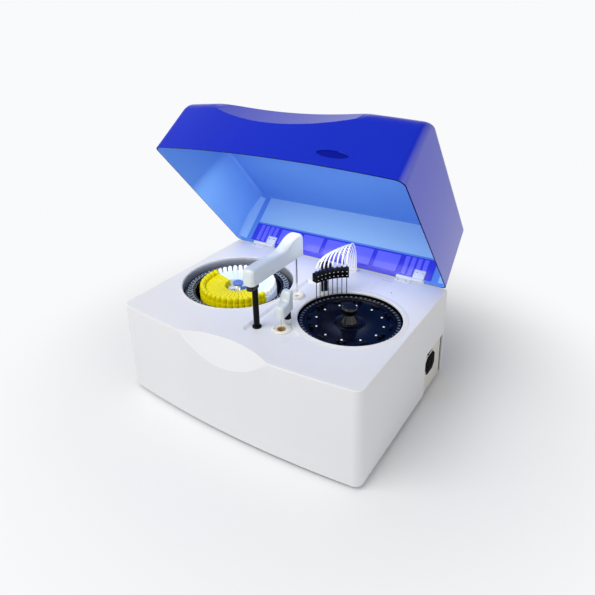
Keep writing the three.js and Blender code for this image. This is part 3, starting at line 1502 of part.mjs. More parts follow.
buildHousing();
buildMountingFrame();
buildPowerPanel();
buildLid();
buildTub('reagent_tub', reagentX, reagentY, reagentTubRadius, brushedSteel);
buildTub('reaction_bath', reactionX, reactionY, bathRadius, blackPlastic);
buildMotor('reagent_motor', reagentX, reagentY);
buildMotor('reaction_motor', reactionX, reactionY);
buildReagentCarousel();
buildReactionCarousel();
buildSampleArm();
buildStirrerArm();
buildWell('sample_wash_well', sampleWell, sampleWellFlangeRadius, sampleWellHeight, sampleWellRimWidth,
  sampleWellBore, sampleWellDepth);
buildWell('stirrer_wash_well', stirrerWell, stirrerWellFlangeRadius, stirrerWellHeight, stirrerWellRimWidth,
  stirrerWellBore, stirrerWellDepth);
buildWashStation();
buildInside();

// The origin is the middle of the footprint, with the lid open, on the surface that the feet stand on
const extent = new THREE.Box3().setFromObject(machine, true);
const centre = extent.getCenter(new THREE.Vector3());
machine.position.set(-centre.x, -centre.y, -extent.min.z);

export default machine;
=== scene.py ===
# %% [markdown]
# # A benchtop chemistry analyzer
# The machine is a moulded white housing with a hinged blue lid. Under the lid lie a carousel of reagent
# bottles, a carousel of cuvettes, a sampling arm, a stirrer arm and a wash station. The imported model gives
# the place and the motion of every piece. This script gives each piece its fine shape and its finish.

# %% Load the frame
import json
import math

import bmesh
import bpy
from mathutils import Matrix, Vector

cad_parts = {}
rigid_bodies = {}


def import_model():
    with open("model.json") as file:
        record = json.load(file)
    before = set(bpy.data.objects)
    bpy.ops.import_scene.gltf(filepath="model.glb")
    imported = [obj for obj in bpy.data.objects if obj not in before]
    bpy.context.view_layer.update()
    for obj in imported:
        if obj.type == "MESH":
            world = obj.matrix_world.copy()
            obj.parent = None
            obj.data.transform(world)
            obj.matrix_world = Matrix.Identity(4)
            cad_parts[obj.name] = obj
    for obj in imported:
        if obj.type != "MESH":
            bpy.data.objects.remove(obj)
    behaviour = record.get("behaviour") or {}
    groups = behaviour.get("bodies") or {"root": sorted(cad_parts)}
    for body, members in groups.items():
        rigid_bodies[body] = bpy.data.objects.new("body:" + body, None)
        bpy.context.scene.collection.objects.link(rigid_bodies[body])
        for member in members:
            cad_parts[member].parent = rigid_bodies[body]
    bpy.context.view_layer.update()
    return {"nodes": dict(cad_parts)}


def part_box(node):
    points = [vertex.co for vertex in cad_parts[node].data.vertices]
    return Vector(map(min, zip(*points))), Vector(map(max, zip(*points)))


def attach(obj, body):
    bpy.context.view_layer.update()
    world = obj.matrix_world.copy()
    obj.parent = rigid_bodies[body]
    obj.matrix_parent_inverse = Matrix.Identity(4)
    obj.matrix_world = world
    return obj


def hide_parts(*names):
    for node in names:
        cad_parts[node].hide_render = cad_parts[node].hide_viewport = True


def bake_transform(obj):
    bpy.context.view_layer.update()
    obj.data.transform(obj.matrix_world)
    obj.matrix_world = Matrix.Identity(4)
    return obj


for leftover in list(bpy.data.objects):
    bpy.data.objects.remove(leftover)
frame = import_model()
MM = 0.001
FULL_TURN = 2 * math.pi

# %% [markdown]
# ## Places
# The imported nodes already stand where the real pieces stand, so their boxes are the best rulers. Reading a
# place from a box keeps this script in step with the model, where typed coordinates would drift from it.
# The model is in metres. Here every length is in millimetres, and only the few helpers that make points
# turn it into metres.


# %% Read places from the model
def low(node):
    return Vector(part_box(node)[0]) / MM


def high(node):
    return Vector(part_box(node)[1]) / MM


def middle(node):
    return (low(node) + high(node)) / 2


def on_deck(node):
    return Vector((middle(node).x, middle(node).y, 0.0))


DECK = high("lamp_cover").z
RECESS = DECK - 6
BODY_HALF = high("top_cover").x
BODY_REAR = high("top_cover").y
HALF_DEPTH = 256
BODY_MIDDLE = BODY_REAR - HALF_DEPTH
BODY_FRONT = BODY_MIDDLE - HALF_DEPTH
REAGENT = on_deck("reagent_knob")
REACTION = on_deck("reaction_knob")
SAMPLE_POST = on_deck("sample_column_flange")
STIRRER_POST = on_deck("stirrer_boss")
WASH_POST = on_deck("wash_flange")
SAMPLE_WELL = on_deck("sample_wash_well")
STIRRER_WELL = on_deck("stirrer_wash_well")
HINGE = middle("hinge_pin_left")
print("deck height %.1f mm, hinge line at y %.1f z %.1f mm" % (DECK, HINGE.y, HINGE.z))


# %% Helpers for nodes and objects
class Graph:
    """A node tree with short ways to add a node, set its inputs and link it."""

    def __init__(self, tree):
        self.nodes, self.links = tree.nodes, tree.links

    def feed(self, node, inputs):
        for label, value in inputs.items():
            if isinstance(value, bpy.types.NodeSocket):
                self.links.new(value, node.inputs[label])
            else:
                node.inputs[label].default_value = value

    def add(self, kind, inputs=None, **settings):
        node = self.nodes.new("ShaderNode" + kind)
        for label, value in settings.items():
            setattr(node, label, value)
        self.feed(node, inputs or {})
        return node

    def math(self, operation, first, second=0.0, clamp=False):
        return self.add("Math", {0: first, 1: second}, operation=operation, use_clamp=clamp).outputs[0]

    def noise(self, vector, scale, detail=2.0):
        return self.add("TexNoise", {"Vector": vector, "Scale": scale, "Detail": detail}).outputs["Fac"]


def shell_object(name, bm):
    data = bpy.data.meshes.new(name)
    bm.to_mesh(data)
    bm.free()
    piece = bpy.data.objects.new(name, data)
    bpy.context.scene.collection.objects.link(piece)
    return piece


print("helpers ready")

# %% [markdown]
# ## Camera and light
# The camera's place, angle and lens were worked out from the straight edges of the housing in the
# photograph. The lens is about 34 mm, and a small shift stands for the crop. The light is a studio's: a
# broad key from the front left, and a weak fill from the right, so that the right side of the housing turns
# grey. A faint lamp under the lid stands for the daylight that comes through the blue plastic on to the
# deck.

# %% Camera
AZIMUTH = math.radians(37.29)
ELEVATION = math.radians(21.68)
ROLL = math.radians(-3.1)
back = Vector((math.sin(AZIMUTH) * math.cos(ELEVATION), -math.cos(AZIMUTH) * math.cos(ELEVATION),
               math.sin(ELEVATION)))
right = (-back).cross(Vector((0, 0, 1))).normalized()
up = right.cross(-back)
turned_right = right * math.cos(ROLL) + up * math.sin(ROLL)
turned_up = -right * math.sin(ROLL) + up * math.cos(ROLL)
camera = bpy.data.objects.new("camera", bpy.data.cameras.new("camera"))
camera.matrix_world = (Matrix.Translation((0.7509, BODY_MIDDLE * MM - 1.0987, 0.9871))
                       @ Matrix((turned_right, turned_up, back)).transposed().to_4x4())
camera.data.sensor_width = 36
camera.data.lens = 34.13
camera.data.shift_x = 0.0711
camera.data.shift_y = -0.1146
camera.data.clip_start = 0.05
bpy.context.scene.collection.objects.link(camera)
bpy.context.scene.camera = camera
bpy.context.scene.view_settings.view_transform = "Standard"
print("camera at", [round(value, 3) for value in camera.matrix_world.translation])


# %% Lamps, in metres
def lamp(name, place, target, size, watts, tint=(1, 1, 1)):
    light = bpy.data.objects.new(name, bpy.data.lights.new(name, "AREA"))
    light.data.shape = "RECTANGLE"
    light.data.size, light.data.size_y = size
    light.data.energy = watts
    light.data.color = tint
    light.location = place
    light.visible_camera = False
    light.rotation_euler = (Vector(target) - Vector(place)).to_track_quat("-Z", "Y").to_euler()
    bpy.context.scene.collection.objects.link(light)


lamp("key", (-0.8, -1.85, 2.6), (0, 0, 0.25), (2.2, 1.4), 56)
lamp("fill", (2.4, -0.8, 1.1), (0, 0, 0.3), (1.2, 1.4), 9)
lamp("under_lid", (0, 0.02, 0.52), (0, 0.14, 0.26), (0.6, 0.2), 0.62, (1.0, 0.94, 0.76))
print("lamps:", len(bpy.data.lights))

# %% World and floor
PAPER = (0.95, 0.955, 0.965, 1)


def seen_ray(graph):
    """One where the camera, a gloss or a clear wall looks, and zero for light that falls on things."""
    path = graph.add("LightPath").outputs
    either = graph.math("MAXIMUM", path["Is Camera Ray"], path["Is Glossy Ray"])
    return graph.math("MAXIMUM", either, path["Is Transmission Ray"])


world = bpy.data.worlds.new("studio")
bpy.context.scene.world = world
world.use_nodes = True
sky = Graph(world.node_tree)
sky.nodes.clear()
room = sky.add("Background", {"Color": (0.985, 0.99, 1.0, 1), "Strength": 0.33})
backdrop = sky.add("Background", {"Color": PAPER, "Strength": 1.0})
choose = sky.add("MixShader", {0: seen_ray(sky), 1: room.outputs[0], 2: backdrop.outputs[0]})
sky.add("OutputWorld", {"Surface": choose.outputs[0]})

floor_mesh = bmesh.new()
bmesh.ops.create_grid(floor_mesh, x_segments=1, y_segments=1, size=6)
floor = shell_object("floor", floor_mesh)
floor_paint = bpy.data.materials.new("floor_paper")
floor_paint.use_nodes = True
ground = Graph(floor_paint.node_tree)
shader = ground.nodes["Principled BSDF"]
ground.feed(shader, {"Base Color": (0.93, 0.935, 0.94, 1), "Roughness": 0.9, "Specular IOR Level": 0.1})
paper = ground.add("Emission", {"Color": PAPER})
away = ground.add("VectorMath", {0: ground.add("TexCoord").outputs["Object"]}, operation="LENGTH")
fade = ground.add("MapRange", {"From Min": 0.3, "From Max": 1.0, "Value": away.outputs["Value"]},
                  interpolation_type="SMOOTHSTEP")
share = ground.math("MULTIPLY", fade.outputs["Result"], seen_ray(ground))
blend = ground.add("MixShader", {0: share, 1: shader.outputs[0], 2: paper.outputs[0]})
ground.feed(ground.nodes["Material Output"], {"Surface": blend.outputs[0]})
floor.data.materials.append(floor_paint)
print("world and floor ready")

# %% [markdown]
# ## Finishes
# Nearly every surface here is moulded plastic, painted sheet or machined metal. Moulded plastic isn't one
# flat colour: it has a fine grain from the mould, and its tone and gloss drift slowly over a large face.
# Metal shows how it was made: a turned piece has fine rings about its axis, and a drawn or ground piece has
# straight lines. Each effect is needed many times, so it is built once as a shader node group, and each
# material sets its own values. The lines come from one noise. It is stretched along them, or it is read
# along the distance from the axis, which makes rings.


# %% Shared effects
def new_group(name, scale_label):
    group = bpy.data.node_groups.new(name, "ShaderNodeTree")
    inputs = (("Vector", "Vector"), ("Colour", "Color"), ("Tone", "Float"), ("Roughness", "Float"),
              ("Drift", "Float"), (scale_label, "Float"))
    outputs = (("Colour", "Color"), ("Roughness", "Float"), ("Grain", "Float"))
    for way, sockets in (("INPUT", inputs), ("OUTPUT", outputs)):
        for label, kind in sockets:
            group.interface.new_socket(name=label, in_out=way, socket_type="NodeSocket" + kind)
    graph = Graph(group)
    return group, graph, graph.nodes.new("NodeGroupInput").outputs, graph.nodes.new("NodeGroupOutput")


def group_results(graph, given, result, wave, grain, speck=None):
    """A wave about one half shifts tone and roughness. A speck adds its own share to the tone."""
    swing = graph.math("SUBTRACT", wave, 0.5)
    factor = graph.math("MULTIPLY", swing, given["Tone"])
    if speck:
        factor = graph.math("ADD", factor, speck)
    shaded = graph.add("Mix", {"Factor": 1.0, "A": given["Colour"], "B": graph.math("ADD", factor, 1.0)},
                       data_type="RGBA", blend_type="MULTIPLY")
    drift = graph.math("MULTIPLY", swing, given["Drift"])
    graph.feed(result, {"Colour": shaded.outputs["Result"], "Grain": grain,
                        "Roughness": graph.math("ADD", given["Roughness"], drift, True)})


moulded, graph, given, result = new_group("moulded_surface", "Grain scale")
fine = graph.noise(given["Vector"], given["Grain scale"])
speck = graph.math("MULTIPLY", graph.math("SUBTRACT", fine, 0.5), 0.03)
group_results(graph, given, result, graph.noise(given["Vector"], 7.0, 3.0), fine, speck)

lined, graph, given, result = new_group("tool_lines", "Line scale")
lines = graph.noise(given["Vector"], given["Line scale"], 4.0)
group_results(graph, given, result, lines, lines)
print("shared effects:", moulded.name, "and", lined.name)


def colour(red, green, blue):
    def linear(value):
        value /= 255
        return value / 12.92 if value <= 0.04045 else ((value + 0.055) / 1.055) ** 2.4
    return (linear(red), linear(green), linear(blue), 1.0)


def start_material(name, slot, metallic=0.0, coat=0.0, alpha=1.0, gloss=0.5, glow=0.0,
                   glow_colour=(255, 255, 255)):
    material = bpy.data.materials.new(name)
    material.use_nodes = True
    graph = Graph(material.node_tree)
    shader = graph.nodes["Principled BSDF"]
    # The emission is painted light: a glow on parts that are no lamps, standing in for light that shines
    # through them or is caught by them.
    graph.feed(shader, {"Metallic": metallic, "Coat Weight": coat, "Coat Roughness": 0.08, "Alpha": alpha,
                        "Specular IOR Level": gloss, "Emission Color": colour(*glow_colour),
                        "Emission Strength": glow})
    return material, graph, shader


def object_vector(graph, scale=(1, 1, 1), centre=(0, 0, 0)):
    values = {"Vector": graph.add("TexCoord").outputs["Object"], "Scale": scale,
              "Location": [-c * MM * s for c, s in zip(centre, scale)]}
    return graph.add("Mapping", values).outputs["Vector"]


def use_group(graph, shader, group, values, bump, depth):
    node = graph.add("Group", node_tree=group)
    graph.feed(node, values)
    relief = graph.add("Bump", {"Strength": bump, "Distance": depth, "Height": node.outputs["Grain"]})
    graph.feed(shader, {"Base Color": node.outputs["Colour"], "Roughness": node.outputs["Roughness"],
                        "Normal": relief.outputs["Normal"]})


def plastic(name, slot, paint, roughness, tone=0.05, drift=0.08, grain=1400.0, bump=0.12, **extra):
    material, graph, shader = start_material(name, slot, **extra)
    use_group(graph, shader, moulded, {
        "Vector": object_vector(graph), "Colour": colour(*paint), "Tone": tone, "Roughness": roughness,
        "Drift": drift, "Grain scale": grain}, bump, 0.0002)
    return material


def metal(name, slot, paint, roughness, along=(1, 1, 1), tone=0.12, scale=500.0, axis=None, metallic=1.0):
    """The lines run straight, or in rings about an axis."""
    material, graph, shader = start_material(name, slot, metallic=metallic)
    vector = object_vector(graph, along, axis or (0, 0, 0))
    if axis:
        split = graph.add("SeparateXYZ", {"Vector": vector}).outputs
        squares = [graph.math("MULTIPLY", split[label], split[label]) for label in ("X", "Y")]
        radius = graph.math("SQRT", graph.math("ADD", *squares))
        vector = graph.add("CombineXYZ", {"X": radius, "Z": split["Z"]}).outputs["Vector"]
    use_group(graph, shader, lined, {
        "Vector": vector, "Colour": colour(*paint), "Tone": tone, "Roughness": roughness, "Drift": 0.2,
        "Line scale": scale}, 0.1, 0.0001)
    return material


print("makers of materials ready")

# %% White, cream and black plastics
HOUSING_WHITE = plastic("housing_white", "housing", (238, 238, 240), 0.42, tone=0.03, bump=0.2)
ARM_WHITE = plastic("arm_white", "white_plastic", (228, 236, 237), 0.28, tone=0.03, bump=0.05, coat=0.2)
HINGE_WHITE = plastic("hinge_white", "white_plastic", (238, 242, 247), 0.3)
WELL_CREAM = plastic("well_cream", "cream_plastic", (238, 236, 228), 0.4)
RIM_CREAM = plastic("rim_cream", "housing", (236, 235, 232), 0.38, tone=0.03)
# The tubes carry a faint painted glow, as painted light on the pale plastic.
TUBE_WHITE = plastic("tube_white", "white_plastic", (250, 251, 253), 0.3, tone=0.02, glow=0.12)
BLACK_GLOSS = plastic("black_gloss", "black_plastic", (5, 5, 7), 0.14, tone=0.2)
BLACK_SATIN = plastic("black_satin", "black_plastic", (6, 6, 8), 0.3, tone=0.2, gloss=0.12)
BLACK_MATT = plastic("black_matt", "black_plastic", (7, 7, 8), 0.7, tone=0.2, gloss=0.04)
RUBBER = plastic("foot_rubber", "foot_rubber", (30, 30, 31), 0.85, tone=0.3, grain=900.0, bump=0.4)
PANEL_GREY = plastic("panel_grey", "panel_steel", (186, 187, 190), 0.45, metallic=0.2)
PANEL_WARM = plastic("panel_warm", "panel_steel", (226, 223, 213), 0.45, tone=0.04)
# The screw heads carry a painted glow, so they read bright where the light on them is weak.
SCREW_HEAD = plastic("pale_screw_head", "white_plastic", (236, 237, 240), 0.25, glow=0.15)
DOT_GREY = plastic("dot_grey", "black_plastic", (150, 162, 186), 0.4)

# %% Coloured and clear plastics
NAVY_DISC = plastic("navy_disc", "navy_plastic", (2, 5, 24), 0.24, tone=0.25, bump=0.04, gloss=0.1)
NAVY_DARK = plastic("navy_dark", "navy_plastic", (3, 4, 14), 0.26, tone=0.25, gloss=0.2)
NAVY_BLOCK = plastic("navy_block", "navy_plastic", (10, 22, 78), 0.3, tone=0.2)
YELLOW = plastic("yellow_bottle", "yellow_plastic", (246, 233, 4), 0.36, tone=0.08, drift=0.12, gloss=0.2)
# The milky bottles and their caps carry a painted glow, for light passing through the milky plastic.
CLEAR = plastic("clear_bottle", "clear_plastic", (226, 237, 250), 0.24, tone=0.04, alpha=0.97, glow=0.2,
                glow_colour=(206, 222, 248))
CLEAR_CAP = plastic("clear_cap", "clear_plastic", (248, 250, 253), 0.28, tone=0.03, glow=0.15)
CUP = plastic("sample_cup", "clear_plastic", (120, 138, 160), 0.14, tone=0.1, alpha=0.3, coat=0.3)
CUP_RIM = plastic("sample_cup_rim", "clear_plastic", (206, 218, 232), 0.2, tone=0.1)
WINDOW = plastic("cuvette_window", "navy_plastic", (150, 160, 178), 0.15, tone=0.2, coat=0.4)
BLUE_KNOB = plastic("blue_knob", "blue_plastic", (98, 132, 208), 0.3, tone=0.1)
GREEN_TAG = plastic("green_tag", "clear_plastic", (176, 214, 120), 0.5)
BOARD_GREEN = plastic("board_green", "board_green", (28, 92, 52), 0.5, tone=0.3, grain=300.0)
STAIN = plastic("well_stain", "cream_plastic", (190, 156, 92), 0.3, tone=0.5, grain=120.0, coat=0.4)

# %% Metals
ZINC = metal("zinc_plate", "zinc_steel", (176, 180, 184), 0.42, tone=0.25, scale=60.0)
ALUMINIUM = metal("ground_aluminium", "aluminium", (196, 198, 202), 0.34, (0.03, 1, 1))
BRIGHT = metal("bright_steel", "bright_steel", (206, 208, 212), 0.16, (1, 1, 0.05), 0.08)
SCREW = metal("screw_steel", "bright_steel", (200, 202, 205), 0.25, tone=0.1)
BRASS = metal("brass", "brass", (205, 168, 84), 0.25, (0.05, 1, 1))
TUB_STEEL = metal("tub_steel", "brushed_steel", (214, 218, 226), 0.34, scale=700.0, axis=REAGENT,
                  metallic=0.7)
HUB_STEEL = metal("hub_steel", "bright_steel", (232, 232, 230), 0.16, scale=700.0, axis=REAGENT)

# %% [markdown]
# ## The lid's plastic
# The lid is tinted acrylic. Its outside is a deep glossy blue. Its sides are painted lighter and more violet,
# and its inside is painted a lighter blue with a glow: both are painted light, for the light that comes in
# through the wall, and the outside has a faint painted glow too. Real refraction would need many light bounces
# and would be noisy. Two opaque blues with a little transparency look the same and render cleanly.


# %% Lid finishes
def lid_plastic(name, front, side, roughness, glow):
    material, graph, shader = start_material(name, "lid_blue", gloss=0.07, alpha=0.97, glow=glow,
                                             glow_colour=front)
    vector = object_vector(graph)
    split = graph.add("SeparateXYZ", {"Vector": vector}).outputs
    # Towards the sides the colour turns to the side colour, painted light for the light that comes through the
    # side walls.
    side_light_ramp = graph.add("MapRange", {"From Min": (BODY_HALF - 16) * MM, "From Max": (BODY_HALF - 6) * MM,
                                  "Value": graph.math("ABSOLUTE", split["X"])})
    mix = graph.add("Mix", {"A": colour(*front), "B": colour(*side), "Factor": side_light_ramp.outputs["Result"]},
                    data_type="RGBA")
    use_group(graph, shader, moulded, {
        "Vector": vector, "Colour": mix.outputs["Result"], "Tone": 0.12, "Roughness": roughness,
        "Drift": 0.06, "Grain scale": 260.0}, 0.05, 0.0002)
    return material


# Both blues carry a painted glow, and the inside is painted lighter, for light that comes in through the wall.
LID_OUTSIDE = lid_plastic("lid_outside", (18, 44, 198), (116, 121, 226), 0.12, 0.02)
LID_INSIDE = lid_plastic("lid_inside", (94, 144, 228), (132, 186, 250), 0.4, 0.12)
# The lower edge is painted dark: painted shade on the hem's downward faces.
LID_EDGE_SHADE = plastic("lid_edge_shade", "lid_blue", (6, 12, 92), 0.3, gloss=0.05)
LID_GRIP = plastic("lid_grip", "lid_blue", (2, 22, 150), 0.3, gloss=0.05)
# The pale sheet carries a painted glow, for the light that comes in through the lid.
LID_PANE = plastic("lid_pane", "pale_blue", (144, 186, 230), 0.5, tone=0.02, gloss=0.2, glow=0.2,
                   glow_colour=(140, 182, 232))
# The strip carries a faint painted glow. The pads are painted lighter than the strip with a stronger glow: a
# painted highlight and painted light on the raised pads.
LID_STRIP = plastic("lid_strip", "lid_blue", (62, 60, 226), 0.22, tone=0.15, coat=0.3, glow=0.06,
                    glow_colour=(60, 60, 226))
LID_PADS = plastic("lid_pads", "lid_blue", (104, 106, 248), 0.22, tone=0.15, coat=0.3, glow=0.18,
                   glow_colour=(90, 92, 244))
# The corner ribs are painted a lighter blue with a painted glow, for light coming through the lid's corners.
LID_CORNER = plastic("lid_corner", "lid_blue", (146, 190, 244), 0.35, gloss=0.3, glow=0.12,
                     glow_colour=(140, 184, 244))
CLEAR_LEAF = plastic("clear_leaf", "clear_plastic", (232, 238, 250), 0.2, coat=0.3)

# %% [markdown]
# ## Tools for modelling
# A few short helpers keep the cells below readable. Each starts a bmesh from one operator or from a short
# profile. `soften` bevels every edge that is sharper than a given angle, as a mould or a file leaves it.
# `put` turns the bmesh into a piece at the origin that rides on its body, and `settle` does so for a piece
# that was carved first.

# %% Simple forms
ORIGIN = Vector((0, 0))
TINY = 1e-6


def shift(x=0.0, y=0.0, z=0.0):
    return Matrix.Translation((x * MM, y * MM, z * MM))


def standing(place, angle):
    return shift(place.x, place.y) @ Matrix.Rotation(angle, 4, "Z")


def moved(bm, matrix):
    bmesh.ops.transform(bm, matrix=matrix, verts=bm.verts)
    return bm


def soften(bm, width, segments=2, angle=35):
    bmesh.ops.remove_doubles(bm, verts=bm.verts, dist=TINY)
    limit = math.radians(angle)
    sharp = [e for e in bm.edges if len(e.link_faces) == 2 and e.calc_face_angle(0) > limit]
    bmesh.ops.bevel(bm, geom=sharp, offset=width * MM, segments=segments, profile=0.5, affect="EDGES",
                    clamp_overlap=True, material=-1)
    return bm


def new_box(x0, x1, y0, y1, z0, z1):
    bm = bmesh.new()
    size = Matrix.Diagonal(((x1 - x0) * MM, (y1 - y0) * MM, (z1 - z0) * MM, 1))
    centre = shift((x0 + x1) / 2, (y0 + y1) / 2, (z0 + z1) / 2)
    bmesh.ops.create_cube(bm, size=1, matrix=centre @ size)
    return bm


def new_rod(place, z0, z1, radius, top=None, segments=48):
    bm = bmesh.new()
    bmesh.ops.create_cone(bm, cap_ends=True, segments=segments, radius1=radius * MM,
                          radius2=(radius if top is None else top) * MM, depth=(z1 - z0) * MM,
                          matrix=shift(place.x, place.y, (z0 + z1) / 2))
    return bm


def new_spun(profile, place=ORIGIN, steps=96):
    """A round piece from a profile of radius and height pairs, which starts and ends on the axis or closes."""
    bm = bmesh.new()
    points = [bm.verts.new((radius * MM, 0, height * MM)) for radius, height in profile]
    edges = [bm.edges.new(pair) for pair in zip(points, points[1:])]
    if profile[0][0] > 0:
        edges.append(bm.edges.new((points[-1], points[0])))
    bmesh.ops.spin(bm, geom=points + edges, cent=(0, 0, 0), axis=(0, 0, 1), angle=FULL_TURN, steps=steps,
                   use_merge=True, use_duplicate=False)
    bmesh.ops.remove_doubles(bm, verts=bm.verts, dist=TINY)
    bmesh.ops.recalc_face_normals(bm, faces=bm.faces)
    return moved(bm, shift(place.x, place.y))


def new_plate(points, z0, z1):
    """A flat outline raised to a plate."""
    bm = bmesh.new()
    face = bm.faces.new([bm.verts.new((x * MM, y * MM, z0 * MM)) for x, y in points])
    if face.normal.z > 0:
        face.normal_flip()
    grown = bmesh.ops.extrude_face_region(bm, geom=[face])
    lifted = [v for v in grown["geom"] if isinstance(v, bmesh.types.BMVert)]
    bmesh.ops.translate(bm, verts=lifted, vec=(0, 0, (z1 - z0) * MM))
    bmesh.ops.recalc_face_normals(bm, faces=bm.faces)
    return bm


def new_loft(levels):
    """Closed loops of points, one above the other, bridged and capped."""
    bm = bmesh.new()
    loops = []
    for level in levels:
        verts = [bm.verts.new([value * MM for value in point]) for point in level]
        edges = [bm.edges.new((verts[i], verts[(i + 1) % len(verts)])) for i in range(len(verts))]
        loops.append((verts, edges))
    for below, above in zip(loops, loops[1:]):
        bmesh.ops.bridge_loops(bm, edges=below[1] + above[1])
    bm.faces.new(list(reversed(loops[0][0])))
    bm.faces.new(loops[-1][0])
    bmesh.ops.recalc_face_normals(bm, faces=bm.faces)
    return bm


print("simple forms ready")


# %% Joining, cutting and settling
def together(*parts):
    """Copies bmeshes into one and frees the others."""
    bm = bmesh.new()
    for part in parts:
        data = bpy.data.meshes.new("joint")
        part.to_mesh(data)
        part.free()
        bm.from_mesh(data)
        bpy.data.meshes.remove(data)
    return bm


def carve(piece, cutters, operation="DIFFERENCE"):
    cutters = [shell_object("cutter", c) if isinstance(c, bmesh.types.BMesh) else c for c in cutters]
    for cutter in cutters:
        cut = piece.modifiers.new("cut", "BOOLEAN")
        cut.operation = operation
        cut.solver = "EXACT"
        cut.object = cutter
    bpy.context.view_layer.update()
    seen = piece.evaluated_get(bpy.context.evaluated_depsgraph_get())
    uncut, result = piece.data, bpy.data.meshes.new_from_object(seen)
    piece.modifiers.clear()
    piece.data = result
    used = [uncut] + [cutter.data for cutter in cutters]
    for cutter in cutters:
        bpy.data.objects.remove(cutter)
    for data in used:
        bpy.data.meshes.remove(data)
    return piece


def paint_faces(piece, materials, pick):
    for material in materials:
        piece.data.materials.append(material)
    for face in piece.data.polygons:
        face.material_index = pick(face)


def settle(piece, body, materials, replaces=(), angle=38):
    """Gives a piece its materials, shades it smooth up to the angle, and hands it to its body."""
    materials = materials if isinstance(materials, list) else [materials]
    if len(piece.data.materials) != len(materials):
        piece.data.materials.clear()
        for material in materials:
            piece.data.materials.append(material)
    piece.data.shade_smooth()
    piece.data.set_sharp_from_angle(angle=math.radians(angle))
    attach(piece, body)
    if replaces:
        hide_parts(*replaces)
    print("%-22s %6d faces, rides on %s" % (piece.name, len(piece.data.polygons), body))
    return piece


def put(name, bm, body, material, replaces=(), angle=38):
    return settle(shell_object(name, bm), body, material, replaces, angle)


def spun(name, profile, place, body, material, replaces=(), steps=144):
    return put(name, new_spun(profile, place, steps), body, material, replaces)


def polar(centre, radius, angle):
    return Vector((centre[0] + radius * math.cos(angle), centre[1] + radius * math.sin(angle)))


def copies(source, count, centre, radius, start, spin=True, step=None):
    """Copies one bmesh round a circle. The source stands at the origin with its outer side along +X."""
    data = bpy.data.meshes.new("source")
    source.to_mesh(data)
    source.free()
    bm = bmesh.new()
    step = FULL_TURN / count if step is None else step
    for index in range(count):
        angle = start + index * step
        matrix = standing(polar(centre, radius, angle), angle if spin else 0)
        data.transform(matrix)
        bm.from_mesh(data)
        data.transform(matrix.inverted())
    bpy.data.meshes.remove(data)
    return bm


def screws(places, radius, height, normal=(0, 0, 1)):
    """Low domed heads with a slot."""
    turn = Vector((0, 0, 1)).rotation_difference(Vector(normal)).to_matrix().to_4x4()
    parts = []
    for place in places:
        head = new_rod(ORIGIN, 0, height * 0.6, radius, radius * 0.96, 20)
        dome = new_rod(ORIGIN, height * 0.6, height, radius * 0.96, radius * 0.6, 20)
        groove = new_box(-radius * 0.55, radius * 0.55, -radius * 0.1, radius * 0.1, height, height * 1.02)
        parts += [moved(part, shift(*place) @ turn) for part in (head, dome, groove)]
    return together(*parts)


print("modelling helpers ready")

# %% [markdown]
# ## Housing
# The housing is one large moulding. It would be foam-moulded or vacuum-formed over a frame, with a bowed
# front and soft corners so that it releases from the mould. Here its plan outline is raised to the deck,
# the deck's edge is bevelled, and the hollow, the openings, the recess and the scooped front are cut out of
# it. Cutting copies how the shape reads: every opening has one clean edge and the wall stays four
# millimetres thick.

# %% Plan outline with a bowed front
BOW = 20
EDGE = 3
WALL = 4


def bowed_outline(half, front, rear, front_radius, rear_radius, corner_steps=8, bow_steps=28):
    points = []

    def corner(x, y, radius, start):
        for step in range(corner_steps + 1):
            angle = start + step / corner_steps * math.pi / 2
            points.append((x + radius * math.cos(angle), y + radius * math.sin(angle)))

    corner(half - rear_radius, rear - rear_radius, rear_radius, 0)
    corner(-half + rear_radius, rear - rear_radius, rear_radius, math.pi / 2)
    corner(-half + front_radius, front + front_radius, front_radius, math.pi)
    straight = half - front_radius
    for step in range(1, bow_steps):
        share = 2 * step / bow_steps - 1
        points.append((share * straight, front - BOW * (1 - share ** 2)))
    corner(half - front_radius, front + front_radius, front_radius, 1.5 * math.pi)
    return points


def body_level(inset, height, rear_extra=0.0):
    outline = bowed_outline(BODY_HALF - inset, BODY_FRONT + inset, BODY_REAR - inset + rear_extra,
                            max(2, 22 - inset), max(1, 6 - inset))
    return [(x, y, height) for x, y in outline]


rounding = [(1 - math.cos(step / 5 * math.pi / 2), math.sin(step / 5 * math.pi / 2)) for step in range(6)]
levels = [body_level(0, 10)]
levels += [body_level(EDGE * a, DECK - EDGE + EDGE * b) for a, b in rounding]
cover = shell_object("housing_cover", new_loft(levels))
print("outline points:", len(levels[0]))


# %% Scooped front edge, hollow and recess
def scoop(x, edge_y, edge_z, half_width, back_reach, drop, sunk=0.0):
    """A wide shallow cylinder laid across the top front edge."""
    slope = math.hypot(back_reach, drop)
    depth = back_reach * drop / slope
    radius = (half_width ** 2 + depth ** 2) / (2 * depth) + sunk
    half = math.asin(min(1, (half_width + sunk) / radius))
    arc = []
    for step in range(41):
        angle = -math.pi / 2 - half + 2 * half * step / 40
        arc.append((radius * math.cos(angle), radius - sunk + radius * math.sin(angle)))
    arc += [(half_width + sunk, slope), (-half_width - sunk, slope)]
    across = Vector((1, 0, 0))
    outward = Vector((0, -drop / slope, back_reach / slope))
    along = across.cross(outward)
    start = Vector((x, edge_y + back_reach, edge_z)) + along * (slope / 2)
    axes = Matrix((across, outward, along)).transposed().to_4x4()
    return moved(new_plate(arc, -slope, slope), shift(*start) @ axes)


